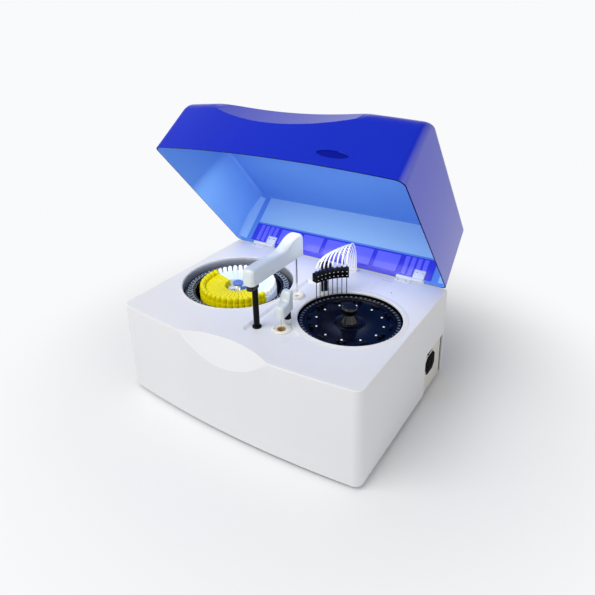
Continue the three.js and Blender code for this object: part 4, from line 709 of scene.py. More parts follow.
def recess_outline(margin, corner_steps=8):
    left, front = -2 - margin, BODY_MIDDLE - 187 - margin
    far, rear = 133 + margin, BODY_MIDDLE + 120 + margin
    radius = 12 + margin
    points = [(left, rear)]
    for step in range(corner_steps + 1):
        angle = math.pi + step / corner_steps * math.pi / 2
        points.append((left + radius + radius * math.cos(angle), front + radius + radius * math.sin(angle)))
    points += [(far - 14, front), (far, front + 46), (far, rear)]
    return points


WALL_SLOPE = 1.2


def recess_block(margin, z0, z1):
    """The recess widens as it rises, so its wall is a soft slope."""
    levels = [[(x, y, z) for x, y in recess_outline(margin + WALL_SLOPE * (z - DECK))] for z in (z0, z1)]
    wheels = [new_rod(place, z0 - WALL, z1 + WALL, edge - margin + 1.5, edge - margin - 1.5, 160)
              for place, edge in ((REAGENT, 167.9), (REACTION, 145.9))]
    block = carve(shell_object("recess_block", new_loft(levels)), wheels)
    return carve(block, [new_rod(STIRRER_POST, z0, z1, 11.8 + margin)], "UNION")


SCOOP_EDGE = (0, BODY_FRONT - BOW, DECK, 143, 36, 59)
hollow = shell_object("hollow", new_loft([body_level(WALL, z, 30) for z in (5, DECK - WALL)]))
carve(hollow, [scoop(*SCOOP_EDGE, sunk=WALL), recess_block(WALL, RECESS - WALL, DECK + WALL)])
carve(cover, [hollow, scoop(*SCOOP_EDGE)])
print("cover after the hollow and the scoop:", len(cover.data.polygons), "faces")

# %% Openings and holes
REAGENT_OPENING, REACTION_OPENING = 158, 128.6
SIDE_CAPS = ((31.9, 20.5), (-247.3, 20.5))
cut_low, cut_high = low("power_panel"), high("power_panel")
lamp_low, lamp_high = low("lamp_cover"), high("lamp_cover")
SEAM = 0.3


def hole(place, radius, segments=64):
    return new_rod(place, DECK - 20, DECK + 20, radius, segments=segments)


side_cut = new_box(BODY_HALF - 2 * WALL, BODY_HALF + WALL, cut_low.y + 8, cut_high.y - 8, 5, 131)
plate = new_box(lamp_low.x - SEAM, lamp_high.x + SEAM, lamp_low.y - SEAM, lamp_high.y + SEAM,
                lamp_low.z - SEAM, DECK + WALL)
cap_seats = [moved(new_rod(ORIGIN, -1.5, 2, 4.9, segments=32),
                   shift(BODY_HALF, y, z) @ Matrix.Rotation(math.pi / 2, 4, "Y")) for y, z in SIDE_CAPS]
carve(cover, [recess_block(0, RECESS, DECK + WALL), hole(REAGENT, REAGENT_OPENING, 192),
              hole(REACTION, REACTION_OPENING, 160), hole(SAMPLE_POST, 7.8), hole(STIRRER_POST, 8.8),
              hole(WASH_POST, 6.8), hole(SAMPLE_WELL, 9.3), hole(STIRRER_WELL, 13.3), side_cut, plate,
              together(*cap_seats)])
settle(cover, "housing", HOUSING_WHITE, ["top_cover"], angle=30)


# %% [markdown]
# Each opening has a raised lip. On the machine it stiffens the edge and keeps spills out of the wells
# below. A lip is round, so one profile spun about the carousel's axis makes it.

# %% Lips of the openings
def lip(name, place, radius, skirt):
    low_step, top = DECK + 0.5, DECK + 1.6
    edge = radius + 6
    profile = [(radius, DECK - WALL), (edge + skirt, DECK - WALL), (edge + skirt, low_step - 0.3),
               (edge + skirt - 0.4, low_step), (edge, low_step), (edge - 0.4, top - 0.6), (edge - 1.2, top),
               (radius + 2.6, top), (radius + 1, top - 0.5), (radius + 0.2, top - 1.5), (radius, top - 2.6)]
    spun(name, profile, place, "housing", RIM_CREAM, ["top_cover"], 192)


lip("reagent_lip", REAGENT, REAGENT_OPENING, 2)
lip("reaction_lip", REACTION, REACTION_OPENING, 8)

# %% [markdown]
# ## Feet and small deck fittings
# Turned rubber feet carry the machine. The lamp cover is a plate let into the deck: it is held by a screw,
# and its seam shows as a fine dark line. Four small indicator dots sit in a row at the rear.

# %% Feet and fittings
foot_profile = [(0, 0), (11, 0), (12.6, 0.6), (15.8, 8.6), (15.4, 9.7), (0, 9.7)]
for node in ("foot_front_left", "foot_front_right", "foot_rear_left", "foot_rear_right"):
    spun("rubber_" + node, foot_profile, middle(node), "housing", RUBBER, [node], 40)
put("deck_screw", screws([(lamp_high.x - 14.4, lamp_low.y + 22.7, DECK)], 2.4, 0.8), "housing", SCREW)
dots = [new_rod(Vector((181.5 + 7.2 * step, BODY_MIDDLE + 221.7)), DECK, DECK + 0.5, 1.6, 1.3, 16)
        for step in range(4)]
put("indicator_dots", together(*dots), "housing", DOT_GREY)
side_caps = screws([(BODY_HALF - 1.6, y, z) for y, z in SIDE_CAPS], 4.6, 1.5, (1, 0, 0))
put("side_screw_caps", side_caps, "housing", SCREW_HEAD)

# %% [markdown]
# ## Lid
# The lid is a deep drawn or injection-moulded cover in tinted acrylic. Its plan follows the housing. The
# front leans back and turns over in a large radius, and a wide facet is scooped out of the top front edge.
# It is drawn shut, level by level, because each level is then a plain outline. It is swung open about the
# hinge line at the end, so the hinge and the lid always agree.

# %% Form of the lid
LID_OPEN = math.radians(49.5)
LID_HEM = DECK + 4
LID_HEIGHT = 181.5
LID_WALL = 3
LID_HALF = BODY_HALF - 2
LID_FRONT = BODY_FRONT - 1
LID_REAR = BODY_REAR + 1
LID_LEAN = 16
SIDE_DRAFT = 5
FRONT_ROUND = 45
SIDE_ROUND = 9
SWING_OPEN = (shift(0, HINGE.y, HINGE.z) @ Matrix.Rotation(-LID_OPEN, 4, "X")
              @ shift(0, -HINGE.y, -HINGE.z))


def lid_level(height, wall):
    rise = max(0.0, min(height, LID_HEIGHT - wall))

    def turned_in(radius):
        reach = max(0.0, rise - (LID_HEIGHT - wall - radius))
        return radius - math.sqrt(max(0.0, radius ** 2 - reach ** 2))

    share = rise / LID_HEIGHT
    side = wall + SIDE_DRAFT * share + turned_in(SIDE_ROUND)
    front = wall + LID_LEAN * share + turned_in(FRONT_ROUND)
    outline = bowed_outline(LID_HALF - side, LID_FRONT + front, LID_REAR - wall - turned_in(SIDE_ROUND),
                            22, 18)
    return [(x, y, LID_HEM + height) for x, y in outline]


def lid_form(name, wall, below):
    top = LID_HEIGHT - wall
    shares = [step / 10 for step in range(9)] + [0.84, 0.88, 0.92, 0.96, 0.985, 1.0]
    heights = [below, 20, (top - FRONT_ROUND) / 2] + [top - FRONT_ROUND * (1 - s) for s in shares]
    return shell_object(name, new_loft([lid_level(height, wall) for height in heights]))


def in_lid(name, bm, material, replaces=()):
    """A piece drawn with the lid shut, swung open with it."""
    return put(name, moved(bm, SWING_OPEN), "lid", material, replaces)


print("lid height %.1f mm, swung by %.1f degrees" % (LID_HEIGHT, math.degrees(LID_OPEN)))

# %% Lid shell
GRIP_X, GRIP_Z, GRIP_HALF, GRIP_RISE = 178, LID_HEM + 34, 38, 10
LID_SCOOP = (-14, LID_FRONT - BOW + LID_LEAN, LID_HEM + LID_HEIGHT, 335, 55, 72)
lid = lid_form("lid_cover", 0.0, 0.0)
lid_hollow = carve(lid_form("lid_hollow", LID_WALL, -2), [scoop(*LID_SCOOP, sunk=LID_WALL)])
notches = [new_box(x - 40, x + 40, LID_REAR - 8, LID_REAR + 4, LID_HEM - 2, LID_HEM + 9)
           for x in (middle("hinge_pin_left").x, middle("hinge_pin_right").x)]
turns = [FULL_TURN * i / 64 for i in range(64)]
oval = [(GRIP_X + GRIP_HALF * math.cos(turn), -GRIP_Z - GRIP_RISE * math.sin(turn)) for turn in turns]
grip = moved(new_plate(oval, BODY_FRONT - 30, BODY_FRONT + 40), Matrix.Rotation(-math.pi / 2, 4, "X"))
grip = carve(shell_object("grip", grip), [lid_form("grip_floor", 1.2, -2)])
carve(lid, [lid_hollow, scoop(*LID_SCOOP), grip] + notches)
heart = Vector((0, BODY_MIDDLE, LID_HEM + 60)) * MM


def lid_face(face):
    """The place in the list of materials: outside, inside, lower edge or grip."""
    outwards = face.normal.dot(face.center - heart) > 0
    corners = [lid.data.vertices[index].co / MM for index in face.vertices]
    reach = max(math.hypot((c.x - GRIP_X) / GRIP_HALF, (c.z - GRIP_Z) / GRIP_RISE) for c in corners)
    if outwards and face.center.y < BODY_MIDDLE * MM and reach < 1.01:
        return 3
    # Downward faces at the hem take the painted shade.
    if face.center.z < (LID_HEM + 0.5) * MM and face.normal.z < -0.9:
        return 2
    return 0 if outwards else 1


lid_finishes = [LID_OUTSIDE, LID_INSIDE, LID_EDGE_SHADE, LID_GRIP]
paint_faces(lid, lid_finishes, lid_face)
lid.data.transform(SWING_OPEN)
settle(lid, "lid", lid_finishes, ["lid_shell"], angle=28)

# %% [markdown]
# The inside of the rear wall carries a row of raised pads with close ribs at both ends. They stiffen the
# edge that the hinges pull on. A pale sheet is fixed above them. All of it moves with the lid. The pads are
# painted lighter than the strip as a painted highlight, and the strip, the pads, the sheet and the corner
# ribs carry a painted glow.

# %% Pads, ribs, sheet and corners
inner = LID_REAR - LID_WALL
hinge_x = middle("hinge_pin_right").x


def on_rear_wall(x0, x1, deep, sunk, bottom, top, edge, segments=2):
    """A soft-edged bar on the inside of the rear wall, with its heights from the hem."""
    return soften(new_box(x0, x1, inner - deep, inner - sunk, LID_HEM + bottom, LID_HEM + top), edge, segments)


strip = together(on_rear_wall(-LID_HALF + 46, LID_HALF - 46, 1.2, 0, 9.5, 72, 0.5),
                 on_rear_wall(-hinge_x + 42, hinge_x - 42, 1, 0, 0.4, 9.4, 0.4, 1))
in_lid("lid_rib_strip", strip, LID_STRIP, ["lid_shell"])
PAD_PITCH = 580 / 7
pads = []
for index in range(7):
    centre = (index - 3) * PAD_PITCH
    if index in (0, 6):
        for rib in range(4):
            x = centre + (rib - 1.5) * 18
            pads.append(on_rear_wall(x - 6.4, x + 6.4, 3.2, 1, 12, 68, 1))
    else:
        half = (PAD_PITCH - 12) / 2
        pads.append(on_rear_wall(centre - half, centre + half, 4.6, 1, 13, 66, 2.2, 3))
in_lid("lid_pads", together(*pads), LID_PADS, ["lid_shell"])
sheet = on_rear_wall(-LID_HALF + 48, LID_HALF - 28, 1.8, 0.3, 77, LID_HEIGHT - 10, 0.4)
in_lid("lid_sheet", sheet, LID_PANE, ["lid_rear_panel"])

corners = []
for side in (-1, 1):
    start = LID_HALF - 5.5
    plan = []
    for centre, radius, order in ((15, 15.4, range(11)), (22, 22, range(10, -1, -1))):
        for turn in [math.pi / 2 * step / 10 for step in order]:
            x, y = start - centre + radius * math.sin(turn), inner - centre + radius * math.cos(turn)
            plan.append((side * x, y))
    corners.append(new_plate(plan, LID_HEM + 10, LID_HEM + 168))
in_lid("lid_corner_ribs", together(*corners), LID_CORNER, ["lid_shell"])


# %% [markdown]
# ## Hinges
# Two pin hinges carry the lid. The fixed leaf is screwed to the deck and the clear leaf to the lid's rear
# wall.

# %% Hinge leaves, barrels and screws
def leaf(x0, x1, y0, y1, z0, z1):
    """A flat leaf with its share of the barrel."""
    turn = shift(0, HINGE.y, HINGE.z) @ Matrix.Rotation(math.pi / 2, 4, "Y")
    barrel = soften(moved(new_rod(ORIGIN, x0, x1, 5, segments=32), turn), 0.6, 2, 50)
    return together(soften(new_box(x0, x1, y0, y1, z0, z1), 0.8), barrel)


for place in ("left", "right"):
    x = middle("hinge_pin_" + place).x
    fixed = leaf(x - 38, x + 6, HINGE.y - 18, HINGE.y, DECK + 0.3, DECK + 2.8)
    put("hinge_fixed_" + place, fixed, "housing", HINGE_WHITE, ["hinge_base_" + place])
    moving = leaf(x + 6.3, x + 38, inner - 5, inner - 0.3, HINGE.z, HINGE.z + 30)
    in_lid("hinge_moving_" + place, moving, CLEAR_LEAF, ["hinge_leaf_" + place])
    heads = [(x + offset, inner - 5, HINGE.z + 20) for offset in (14, 30)]
    in_lid("hinge_screws_" + place, screws(heads, 2.6, 1, (0, -1, 0)), SCREW)
    heads = [(x + offset, HINGE.y - 12, DECK + 2.8) for offset in (-28, -6)]
    put("hinge_deck_screws_" + place, screws(heads, 2.6, 1), "housing", SCREW)

# %% [markdown]
# ## Reagent carousel
# A steel tub keeps the reagents cool. In it turns a black rack with a ring of sample cups, and inside the
# ring stand two groups of wedge bottles round a chrome hub. Everything here is round about one axis, so one
# part is shaped once and then copied round the circle.


# %% Tub and rack
def basin(name, radius, place, material, node):
    """An open basin under an opening, with a floor, a wall and a rolled rim."""
    outer = radius + 3
    profile = [(10, 165.3), (outer - 0.6, 165.3), (outer, 166), (outer, 256.4), (outer - 0.3, 256.7),
               (radius + 0.3, 256.7), (radius, 256.4), (radius, 169.5), (radius - 1.2, 168.3), (10, 168.3)]
    spun(name, profile, place, "housing", material, [node], 192)


basin("steel_tub", 157, REAGENT, TUB_STEEL, "reagent_tub")
spun("cup_rack", [(6.5, 176.6), (151.4, 176.6), (152, 177.2), (152, 239.2), (151.2, 240), (149.9, 240),
                  (149.2, 239.2), (149.2, 210.4), (125.8, 210.4), (125.8, 239.2), (125, 240), (123.7, 240),
                  (123, 239.2), (123, 181.2), (122.4, 180.6), (6.5, 180.6)],
     REAGENT, "reagent_wheel", BLACK_GLOSS, ["reagent_carousel"], 192)

# %% [markdown]
# ## Sample cups
# Sixty thin cups hang in the ring. Each is blow-moulded clear plastic with a rolled mouth. One short
# profile makes a cup with few faces, because sixty copies of a dense cup would cost far more than they
# show. One cup stands where the probe comes down when the sampling arm has swung over the ring.

# %% Cups and their holder ring
CUPS, CUP_CIRCLE = 60, 137
ARM_REACH = 180.503
probe_at_cup = polar(SAMPLE_POST, ARM_REACH, math.radians(171.334))
cup_start = math.atan2(probe_at_cup.y - REAGENT.y, probe_at_cup.x - REAGENT.x)
cup = new_spun([(0, 212), (4.2, 212), (5.9, 214.5), (6.2, 241), (6.9, 242.2), (6.9, 243.6), (5.9, 243.9),
                (5.4, 243), (5.2, 216), (0, 214)], steps=14)
cups = shell_object("clear_cups", copies(cup, CUPS, REAGENT, CUP_CIRCLE, cup_start, spin=False))
# The top faces of the rolled mouths are painted lighter than the cups, a painted highlight where the rims
# catch the light.
paint_faces(cups, [CUP, CUP_RIM], lambda face: int(face.center.z > 243.5 * MM))
settle(cups, "reagent_wheel", [CUP, CUP_RIM], ["sample_cups"], angle=60)
ring = new_spun([(126.4, 236.6), (148.6, 236.6), (148.6, 238.6), (126.4, 238.6)], REAGENT, 192)
hole_form = new_rod(ORIGIN, 230, 245, 6.5, segments=20)
cup_holes = copies(hole_form, CUPS, REAGENT, CUP_CIRCLE, cup_start, spin=False)
settle(carve(shell_object("cup_holder", ring), [cup_holes]), "reagent_wheel", BLACK_GLOSS)

# %% [markdown]
# ## Wedge bottles
# The bottles are blow-moulded wedges, so forty fill the circle. The flat part of a bottle lies towards the
# hub, and a lower round shoulder at its outer end carries a round cap. The yellow group and the milky group
# use the same shape with another finish.

# %% One wedge bottle, copied
BOTTLE_PITCH = FULL_TURN / 40
SHOULDER, BOTTLE_TOP = 244, 250


def wedge():
    root, step_in, outer, round_end = 38, 92, 110, 4
    end = outer - round_end

    def half(radius):
        return radius * math.tan(BOTTLE_PITCH / 2) - 0.35

    def crowned(plan, z0, z1, edge):
        """A plate with its upper edges rounded."""
        bm = new_plate(plan, z0, z1)
        edges = [e for e in bm.edges if all(v.co.z > z1 * MM - 1e-5 for v in e.verts)]
        bmesh.ops.bevel(bm, geom=edges, offset=edge * MM, segments=2, profile=0.5, affect="EDGES",
                        material=-1)
        return bm

    plan = [(root, -half(root)), (end, -half(end))]
    for step in range(1, 6):
        angle = -math.pi / 2 + step * math.pi / 6
        plan.append((end + round_end * math.cos(angle), half(end) * math.sin(angle)))
    plan += [(end, half(end)), (root, half(root))]
    flat = [(root, -half(root)), (step_in, -half(step_in)), (step_in, half(step_in)), (root, half(root))]
    return together(crowned(plan, 181, SHOULDER, 2), crowned(flat, SHOULDER - 3, BOTTLE_TOP, 1.3))


def bottle_group(name, first, count, paint, cap_paint, r, node):
    """The last number is the radius of the cap."""
    start = math.radians(164) + (first + 0.5) * BOTTLE_PITCH
    bottles = copies(wedge(), count, REAGENT, 0, start, step=BOTTLE_PITCH)
    put(name, bottles, "reagent_wheel", paint, [node])
    cap = new_spun([(0, 242), (r, 242), (r, 254), (r - 0.7, 257.6), (r - 2.4, 260.2), (r - 4.6, 261.5),
                    (0, 261.8)], steps=18)
    caps = copies(cap, count, REAGENT, 101.5, start, step=BOTTLE_PITCH)
    put(name + "_caps", caps, "reagent_wheel", cap_paint, [node])


bottle_group("bottles_yellow", 0, 21, YELLOW, YELLOW, 7.5, "yellow_bottles")
bottle_group("bottles_clear", 21, 19, CLEAR, CLEAR_CAP, 6.4, "clear_bottles")

# %% Hub and lifting knob
spun("chrome_hub", [(6.4, 176.4), (14, 176.4), (14, 234), (29, 234), (30, 235), (30, 239), (29, 240),
                    (9, 240.4), (7.4, 241.4), (8, 244), (13, 249.2), (13, 250), (6.4, 250)],
     REAGENT, "reagent_wheel", HUB_STEEL, steps=96)
spun("lifting_knob", [(0, 250.3), (14.4, 250.3), (15, 250.9), (15, 255.6), (14.2, 257.2), (13, 257.8),
                      (10.6, 257.8), (10.2, 257.3), (0, 257.3)],
     REAGENT, "reagent_wheel", BLUE_KNOB, ["reagent_knob"], 96)

# %% [markdown]
# ## Reaction carousel
# The cuvettes stand in a glossy navy ring in a black bath. A low groove inside the ring carries pairs of
# posts and flat bars that clamp the cuvette segments, and twelve screws hold the disc. A waisted knob with
# eight flats lifts the carousel out.

# %% Bath, ring and cuvettes
CUVETTES, CUVETTE_CIRCLE, CUVETTE_START = 60, 119.5, math.radians(1)
basin("black_bath", 128, REACTION, BLACK_GLOSS, "reaction_bath")
ring = new_spun([(113, 212.6), (125.5, 212.6), (125.5, 251.2), (124.8, 252), (113.7, 252), (113, 251.2)],
                REACTION, 240)
slots = copies(new_box(-3.2, 3.2, -2.7, 2.7, 216, 254), CUVETTES, REACTION, CUVETTE_CIRCLE, CUVETTE_START)
settle(carve(shell_object("navy_ring", ring), [slots]), "reaction_wheel", NAVY_DARK, ["cuvette_ring"])
cuvette = new_box(-3.1, 3.1, -2.6, 2.6, 216.5, 251.9)
top_faces = [f for f in cuvette.faces if f.normal.z > 0.9]
bmesh.ops.inset_individual(cuvette, faces=top_faces, thickness=0.5 * MM, depth=0)
bmesh.ops.translate(cuvette, verts=top_faces[0].verts, vec=(0, 0, -28 * MM))
cuvettes = copies(cuvette, CUVETTES, REACTION, CUVETTE_CIRCLE, CUVETTE_START)
put("cuvettes", cuvettes, "reaction_wheel", WINDOW, ["cuvette_ring"])

# %% Disc, posts, bars and screws
spun("navy_disc", [(6.6, 243), (103, 243), (103, 208.6), (125.2, 208.6), (125.2, 211.9), (112.4, 211.9),
                   (112.4, 249.4), (111.8, 250), (106.8, 250), (106, 249.2), (106, 247.6), (105.4, 247),
                   (40, 247), (39.4, 246.7), (38.8, 247), (6.6, 247)],
     REACTION, "reaction_wheel", NAVY_DISC, ["reaction_disc"], 192)
post = ((0, 246.6), (4, 246.6), (4, 255), (3.2, 256), (0, 256))
posts = [new_spun(post, polar(REACTION, 99, math.radians(-74 + 60 * index + side)), 20)
         for index in range(6) for side in (-4.2, 4.2)]
bar = soften(new_box(-3.5, 3.5, -10, 10, 246.8, 251), 0.8)
posts.append(copies(bar, 6, REACTION, 100.5, math.radians(-44)))
put("ring_posts", together(*posts), "reaction_wheel", BLACK_SATIN, ["reaction_disc"])
places = [polar(REACTION, 84, math.radians(15 + 30 * index)) for index in range(12)]
disc_screws = screws([(place.x, place.y, 247) for place in places], 2.6, 1.2)
put("disc_screws", disc_screws, "reaction_wheel", SCREW_HEAD)

# %% Waisted knob with eight flats
knob = new_spun([(6.4, 249.6), (22, 249.6), (20.6, 251.5), (12.8, 270.3), (13.2, 272), (20.4, 283),
                 (20.4, 286.5), (19.4, 288.6), (17.2, 290.2), (6.4, 290.2)], REACTION, 8)
put("knob_body", soften(knob, 1.1, 3, 20), "reaction_wheel", BLACK_GLOSS, ["reaction_knob"], angle=28)
spun("knob_base", [(6.4, 247.3), (26.4, 247.3), (27, 247.9), (27, 249.4), (26.2, 250.3), (6.4, 250.3)],
     REACTION, "reaction_wheel", BLACK_SATIN, ["reaction_knob"], 96)
spun("knob_cap", [(0, 289), (15.6, 289), (15.6, 290.4), (15.2, 290.8), (0, 290.8)],
     REACTION, "reaction_wheel", NAVY_DISC, ["reaction_knob"], 64)


# %% [markdown]
# ## Arms
# The sampling arm and the stirrer arm are thin covers over a swinging beam. Their side view gives them
# their look: a low beam that rises into a rounded head. So the top line is drawn first. Sections with round
# upper corners then follow it from end to end, and they narrow at both ends, as the mould's plan does.

# %% Arm covers
def curve(start, controls, end, steps=10):
    """Points of a curve with one or two control points, without its first point."""
    points = []
    for index in range(1, steps + 1):
        t = index / steps
        if len(controls) == 1:
            value = [(1 - t) ** 2 * a + 2 * t * (1 - t) * b + t * t * c
                     for a, b, c in zip(start, controls[0], end)]
        else:
            value = [(1 - t) ** 3 * a + 3 * t * (1 - t) ** 2 * b + 3 * t * t * (1 - t) * c + t ** 3 * d
                     for a, b, c, d in zip(start, controls[0], controls[1], end)]
        points.append(tuple(value))
    return points


def arm_cover(name, ridge, half_width, low_z, round_end, edge, place, body, node):
    """The ridge is the cover's top line, along the arm and up. Each station is one section."""
    near, far = ridge[0][0], ridge[-1][0]
    ends = [round_end * (1 - math.cos(step * math.pi / 16)) for step in range(9)]
    stations = sorted({round(x, 1) for x in [x for x, z in ridge] + [near + e for e in ends]
                       + [far - e for e in ends]})
    levels = []
    for x in stations:
        below = max(i for i in range(len(ridge) - 1) if ridge[i][0] <= x + 0.05)
        (x0, z0), (x1, z1) = ridge[below], ridge[below + 1]
        top = z0 + (z1 - z0) * min(1, max(0, (x - x0) / max(0.01, x1 - x0)))
        short = max(0, round_end - min(x - near, far - x))
        width = half_width - round_end + math.sqrt(max(0, round_end ** 2 - short ** 2))
        turn = min(edge, width - 0.5)
        section = [(width - 1.2, low_z), (width, low_z + 1.2)]
        section += [(width - turn + turn * math.cos(a), top - turn + turn * math.sin(a))
                    for a in [math.pi / 14 * step for step in range(8)]]
        section += [(-y, z) for y, z in reversed(section)]
        levels.append([(x, y, z) for y, z in section])
    piece = shell_object(name, new_loft(levels))
    piece.data.transform(place)
    settle(piece, body, ARM_WHITE, [node], angle=30)


SAMPLE_REST = math.radians(89.2)
far = ARM_REACH + 15
ridge = [(-28, 406)] + curve((-28, 406), [(-28, 420)], (-14, 420)) + [(far - 102, 420)]
ridge += curve((far - 102, 420), [(far - 66, 420), (far - 60, 441)], (far - 26, 441), 16)
ridge += curve((far - 26, 441), [(far, 441)], (far, 417), 14)
SAMPLE_ARM = standing(SAMPLE_POST, SAMPLE_REST)
arm_cover("sampling_arm", ridge, 16.5, 378, 10, 9, SAMPLE_ARM, "sample_arm_body", "sample_arm")

STIRRER_REST = math.radians(-82.5)
STIRRER_REACH = 35.67
far = STIRRER_REACH + 13
ridge = [(-13, 332)] + curve((-13, 332), [(-13, 345)], (0, 345))
ridge += curve((0, 345), [(12, 345), (11, 322)], (24, 322), 14) + [(far - 7, 322)]
ridge += curve((far - 7, 322), [(far, 322)], (far, 315))
arm_cover("stirrer_arm_cover", ridge, 12.5, 291, 9, 7, standing(STIRRER_POST, STIRRER_REST),
          "stirrer_arm_body", "stirrer_arm")


# %% Columns, clamp, probe and paddle
def column(name, place, radius, z0, z1, body, node):
    profile = [(0, z0), (radius, z0), (radius, z1 - 0.6), (radius - 0.6, z1), (0, z1)]
    spun(name, profile, place, body, BLACK_SATIN, [node], 64)


column("sampling_column", SAMPLE_POST, 7.5, 80, 397.7, "sample_arm_body", "sample_column")
column("stirring_column", STIRRER_POST, 8.5, 120, 304.7, "stirrer_arm_body", "stirrer_column")
column("washing_column", WASH_POST, 6.5, 100, 334.7, "wash_lift", "wash_column")
stadium = []
for centre, start in ((1, -math.pi / 2), (-17.5, math.pi / 2)):
    for step in range(17):
        turn = start + step / 16 * math.pi
        stadium.append((centre + 9.5 * math.cos(turn), 9.5 * math.sin(turn)))
clamp = moved(soften(new_plate(stadium, 363.7, 377.7), 1.2, 3, 50), SAMPLE_ARM)
put("arm_clamp", clamp, "sample_arm_body", BLACK_GLOSS, ["sample_column"])

spun("probe_tube", [(0, 268), (0.8, 268), (1.3, 268.6), (1.3, 293), (2.2, 295), (2.3, 296), (2.3, 397.7),
                    (0, 397.7)],
     polar(SAMPLE_POST, ARM_REACH, SAMPLE_REST), "sample_arm_body", BRIGHT, ["sample_probe"], 24)
paddle = polar(STIRRER_POST, STIRRER_REACH, STIRRER_REST)
spun("paddle_shaft", [(0, 271), (1.3, 271), (1.3, 283.6), (2.4, 284), (2.6, 284.6), (2.6, 304.7), (0, 304.7)],
     paddle, "paddle", BRIGHT, ["stirrer_paddle"], 24)
blade = soften(new_box(-1.8, 1.8, -0.5, 0.5, 265.5, 276.5), 0.3)
put("paddle_blade", moved(blade, standing(paddle, STIRRER_REST)), "paddle", BRIGHT, ["stirrer_paddle"])

# %% Flanges and boss
spun("sampling_flange", [(7.9, 255.3), (11.5, 255.3), (11.5, 258.6), (10.8, 259.3), (7.9, 259.3)],
     SAMPLE_POST, "housing", BLACK_SATIN, ["sample_column_flange"], 64)
spun("washing_flange", [(6.9, 255.3), (9.5, 255.3), (9.5, 283.4), (8.9, 284), (6.9, 284)],
     WASH_POST, "housing", BLACK_SATIN, ["wash_flange"], 64)
spun("white_boss", [(8.9, 255.3), (11.5, 255.3), (11.5, 267), (10.8, 268.1), (9.6, 268.3), (8.9, 267.7)],
     STIRRER_POST, "housing", ARM_WHITE, ["stirrer_boss"], 64)

# %% [markdown]
# ## Wash wells
# Each tool is rinsed in a well beside its arm. A well is one turned profile: a flange that sits on the
# deck, a shallow bowl and a bore. The bowl of the stirrer's well is stained golden brown by the reagents.

# %% Wells
spun("sampling_well", [(0, 189), (9, 189), (9, 255.3), (19.6, 255.3), (20, 255.8), (20, 259), (18.4, 263.6),
                       (17.4, 264.3), (16.4, 264.3), (15.6, 263.6), (14.4, 260), (7.5, 257.2), (6, 256.2),
                       (6, 192), (0, 192)],
     SAMPLE_WELL, "housing", WELL_CREAM, ["sample_wash_well"], 96)
spun("stirring_well", [(0, 203), (13, 203), (13, 255.3), (23.4, 255.3), (23.8, 255.8), (23.8, 257.6),
                       (21, 259.8), (20, 260.3), (17.6, 260.3), (16.8, 259.8), (15.4, 257.6), (11, 256.6),
                       (10, 255.8), (10, 206), (0, 206)],
     STIRRER_WELL, "housing", WELL_CREAM, ["stirrer_wash_well"], 96)
spun("well_stain_ring", [(9.4, 244), (9.9, 244), (10.1, 255.4), (11.4, 256.7), (11.2, 257), (9.4, 256)],
     STIRRER_WELL, "housing", STAIN, steps=64)

# %% [markdown]
# ## Wash station
# Eight steel needles dip into eight cuvettes at once, so they stand on the ring's own circle. A curved
# bracket holds them with two rows of set screws. White tubes rise from the needles and loop back to a port
# block on the deck. The tubes are swept along one curve each.


# %% Bracket, needles and set screws
def arc_plate(inner, outer, start, end, z0, z1, steps=24):
    points = [polar(REACTION, outer, start + (end - start) * step / steps) for step in range(steps + 1)]
    points += [polar(REACTION, inner, end - (end - start) * step / steps) for step in range(steps + 1)]
    return new_plate(points, z0, z1)


NEEDLES, NEEDLE_START, NEEDLE_STEP = 8, math.radians(121), math.radians(6)
ARC_END = math.radians(2.8)
needle_angles = [NEEDLE_START + index * NEEDLE_STEP for index in range(NEEDLES)]
needle_places = [polar(REACTION, CUVETTE_CIRCLE, angle) for angle in needle_angles]
HEAD = standing(REACTION, NEEDLE_START + 3.5 * NEEDLE_STEP)
arc = arc_plate(111, 128, NEEDLE_START - ARC_END, NEEDLE_START + 7 * NEEDLE_STEP + ARC_END, 313, 337)
bridge = moved(soften(new_box(124, 161, -7, 7, 315, 335), 1), HEAD)
collar = soften(new_rod(WASH_POST, 313, 338, 10), 1, 3, 50)
bracket = together(soften(arc, 1.2, 3, 45), bridge, collar)
put("needle_bracket", bracket, "wash_lift", BLACK_SATIN, ["wash_head"])
set_screws = []
for angle in needle_angles:
    place = polar(REACTION, 111.3, angle)
    heads = [(place.x, place.y, height) for height in (319.5, 330.5)]
    set_screws.append(screws(heads, 1.9, 1.2, (-math.cos(angle), -math.sin(angle), 0)))
put("set_screws", together(*set_screws), "wash_lift", SCREW)
needle = ((0, 257), (0.8, 257), (1.3, 258), (1.3, 336.8), (2.1, 337.2), (2.1, 340.4), (1.5, 341), (1.5, 349),
          (0, 349))
needles = together(*[new_spun(needle, place, 16) for place in needle_places])
put("steel_needles", needles, "wash_lift", BRIGHT, ["wash_needles"])
lift_block = moved(soften(new_box(149, 171.5, -17, 11, 314, 338), 2, 3), HEAD)
put("lift_block", lift_block, "wash_lift", NAVY_BLOCK, ["wash_head"])
ferrule = ((0, 336.6), (3.1, 336.6), (3.1, 341), (2.4, 343.2), (0, 343.4))
ferrules = together(*[new_spun(ferrule, place, 20) for place in needle_places])
put("needle_ferrules", ferrules, "wash_lift", NAVY_BLOCK)
sleeve = soften(new_rod(needle_places[6], 268, 276, 1.95, segments=20), 0.5, 2, 50)
put("green_sleeve", sleeve, "wash_lift", GREEN_TAG)


